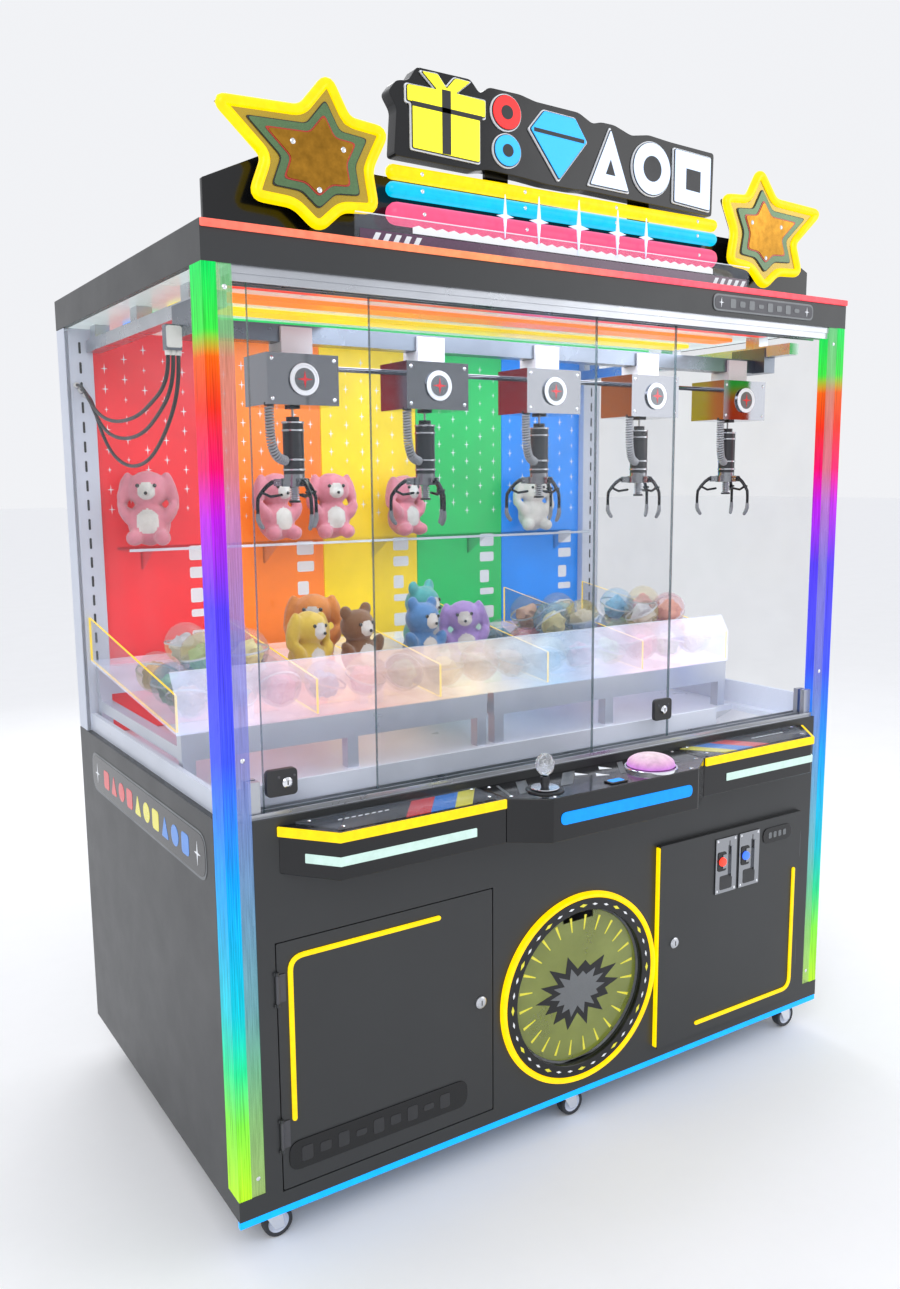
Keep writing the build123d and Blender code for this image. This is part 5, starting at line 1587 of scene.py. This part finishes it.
def toy(name, kind, colour, x, y, z, size, turn=0.0, lean=0.0):
    """A plush toy with nap, bead eyes and a nose, sitting at a point."""
    rest = Matrix.Translation(Vector((x, y, z)) * MM) @ Matrix.Rotation(turn, 4, "Z") \
        @ Matrix.Rotation(lean, 4, "Y") @ Matrix.Scale(size * MM, 4)
    mesh = SKINS[kind].copy()
    mesh.name = name
    mesh.transform(rest)
    mesh.materials.clear()
    mesh.materials.append(TOYS[colour])
    mesh.materials.append(TOYS["white"])
    for p, local in zip(mesh.polygons, SKINS[kind].polygons):
        p.use_smooth = True
        u, v, w = local.center
        belly = v < -0.45 and (u / 0.46) ** 2 + ((w - 1.0) / 0.52) ** 2 < 1
        muzzle = v < -0.74 and w > 1.8
        p.material_index = int(belly or muzzle)
    offset = Vector((x, y, z)) * 0.01
    for v, normal in zip(mesh.vertices, [n.vector.copy() for n in mesh.vertex_normals]):
        v.co += normal * MM * (noise.noise(v.co * 260 + offset) * 0.9
                               + noise.noise(v.co * 70 + offset) * 1.2)
    piece = bpy.data.objects.new(name, mesh)
    bpy.context.scene.collection.objects.link(piece)
    sub = piece.modifiers.new("soft", "SUBSURF")
    sub.levels = 1
    sub.render_levels = 1
    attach(piece, CABINET)
    face = Shape()

    def spot(u, v, w, radius):
        p = rest @ Vector((u, v, w)) / MM
        face.lathe([(0, -radius)] + [(radius * sin(a), -radius * cos(a))
                                     for a in (pi * k / 8 for k in range(1, 8))] + [(0, radius)],
                   tuple(p), "Z", BEAD, 16)
    for s in (-1, 1):
        spot(s * 0.34, -0.72, 2.46, size * 0.085)
    spot(0, -1.0, 2.16, size * 0.075)
    face.done(f"{name}_beads")
    return piece


INNER = [surface(f"capsule_fill_{k}", c, 0.6, 0.0, 60.0, 0.0005, 0.3) for k, c in enumerate(
    ((0.75, 0.45, 0.30), (0.25, 0.55, 0.75), (0.80, 0.25, 0.35), (0.30, 0.55, 0.30),
     (0.85, 0.70, 0.30), (0.60, 0.60, 0.65)))]
SHELLS = [clear(f"capsule_shell_{k}", c, a, 0.05) for k, (c, a) in enumerate(
    (((0.62, 0.70, 0.80), 0.14), ((0.70, 0.68, 0.66), 0.18), ((0.80, 0.36, 0.42), 0.30),
     ((0.35, 0.60, 0.85), 0.30), ((0.85, 0.72, 0.30), 0.28)))]
CAPSULE_R = 44.0
RIM = clear("capsule_rim", (0.75, 0.80, 0.85), 0.55, 0.1)


def capsule(shape, x, y, z, number):
    """A round capsule: two shells that meet at a rim, with a folded toy inside."""
    random.seed(number)
    shell = SHELLS[number % len(SHELLS)]
    lower = SHELLS[(number * 3 + 1) % len(SHELLS)]
    r = CAPSULE_R - 1.0
    turn = Matrix.Rotation(random.uniform(0, pi), 3, "Z") @ Matrix.Rotation(
        random.uniform(-0.9, 0.9), 3, "X")
    part = bmesh.new()
    for sign, material in ((1, shell), (-1, lower)):
        rows = []
        for k in range(9):
            a = (pi / 2) * k / 8
            radius, height = r * cos(a), sign * (r * sin(a) + 0.3)
            if k == 8:
                rows.append([part.verts.new(Vector((0, 0, height)))])
            else:
                rows.append([part.verts.new(Vector((radius * cos(2 * pi * j / 28),
                                                    radius * sin(2 * pi * j / 28), height)))
                             for j in range(28)])
        for a, b in zip(rows, rows[1:]):
            for j in range(28):
                quad = [a[j], a[(j + 1) % 28], b[(j + 1) % len(b)], b[j % len(b)]]
                quad = [v for i, v in enumerate(quad) if v not in quad[:i]]
                part.faces.new(quad).material_index = shape.index(material)
    profile = [(r - 1.5, -2.0), (r + 0.6, -2.0), (r + 1.0, 0), (r + 0.6, 2.0), (r - 1.5, 2.0)]
    rim = [[part.verts.new(Vector((p * cos(2 * pi * j / 28), p * sin(2 * pi * j / 28), h)))
            for j in range(28)] for p, h in profile]
    for a, b in zip(rim, rim[1:] + rim[:1]):
        for j in range(28):
            part.faces.new([a[j], a[(j + 1) % 28], b[(j + 1) % 28], b[j]]).material_index = \
                shape.index(RIM)
    before = len(part.verts)
    bmesh.ops.create_icosphere(part, subdivisions=3, radius=r * 0.72)
    part.verts.ensure_lookup_table()
    fill = shape.index(INNER[number % len(INNER)])
    for v in part.verts[before:]:
        d = v.co.normalized()
        v.co = v.co * (0.9 + 0.35 * noise.noise(d * 2.3 + Vector((number, 0, 0)))) \
            + Vector((0, 0, -r * 0.22))
        for f in v.link_faces:
            f.material_index = fill
    for v in part.verts:
        v.co = (turn @ v.co + Vector((x, y, z))) * MM
    for f in part.faces:
        f.smooth = True
    mesh = bpy.data.meshes.new("capsule")
    part.to_mesh(mesh)
    part.free()
    shape.bm.from_mesh(mesh)
    bpy.data.meshes.remove(mesh)


HEAP_ROWS = (70, 162, 254)
HEAP_STEP, HEAP_RISE = 92, 66
HEAP_LANES = (0, 3, 4)
LANE_TOYS = ((206, -70, 50), (214, 66, 48), (318, 4, 54))
SHELF_TOYS = ((-596, 54), (-290, 52), (-142, 52), (64, 50), (480, 48))


def heap(lane_x):
    """Rows of three capsules, and two more in the hollows between each pair of rows."""
    places = []
    for row in HEAP_ROWS:
        y = TRAY_Y0 + row
        for dx in (-HEAP_STEP, 0, HEAP_STEP):
            places.append((lane_x + dx, y, tray_top(y) + CAPSULE_R + 1))
    for row in HEAP_ROWS[:-1]:
        y = TRAY_Y0 + row + HEAP_STEP / 2
        for dx in (-HEAP_STEP / 2, HEAP_STEP / 2):
            places.append((lane_x + dx, y, tray_top(y) + CAPSULE_R + HEAP_RISE))
    return places


def prizes():
    colours = ("yellow", "brown", "orange", "blue", "lilac", "teal")
    number = 0
    for k in range(LANES):
        lane_x = TRAY_X0 + (k + 0.5) * LANE
        places = heap(lane_x)
        if k not in HEAP_LANES:
            places = places[:3]
            for j, (row, dx, size) in enumerate(LANE_TOYS):
                y = TRAY_Y0 + row
                toy(f"plush_lane_{k + 1}_{j + 1}", ("bear", "rabbit")[(k + j) % 2],
                    colours[3 * (k - 1) + j], lane_x + dx, y, tray_top(y) + 4, size,
                    (-0.5, 0.4, 0.2)[(k + j) % 3], (0.06, -0.08, 0.0)[j])
        shape = Shape()
        for place in places:
            capsule(shape, *place, number)
            number += 1
        shape.done(f"capsules_lane_{k + 1}",
                   replaced=("prizes",) if k == 0 else ())
    for k, (x, size) in enumerate(SHELF_TOYS):
        toy(f"plush_shelf_{k + 1}", "rabbit", "white" if k == 4 else "pink", x, BACK - 96, 1208,
            size, (-0.4, 0.2, -0.1, 0.3, -0.2)[k])


prizes()
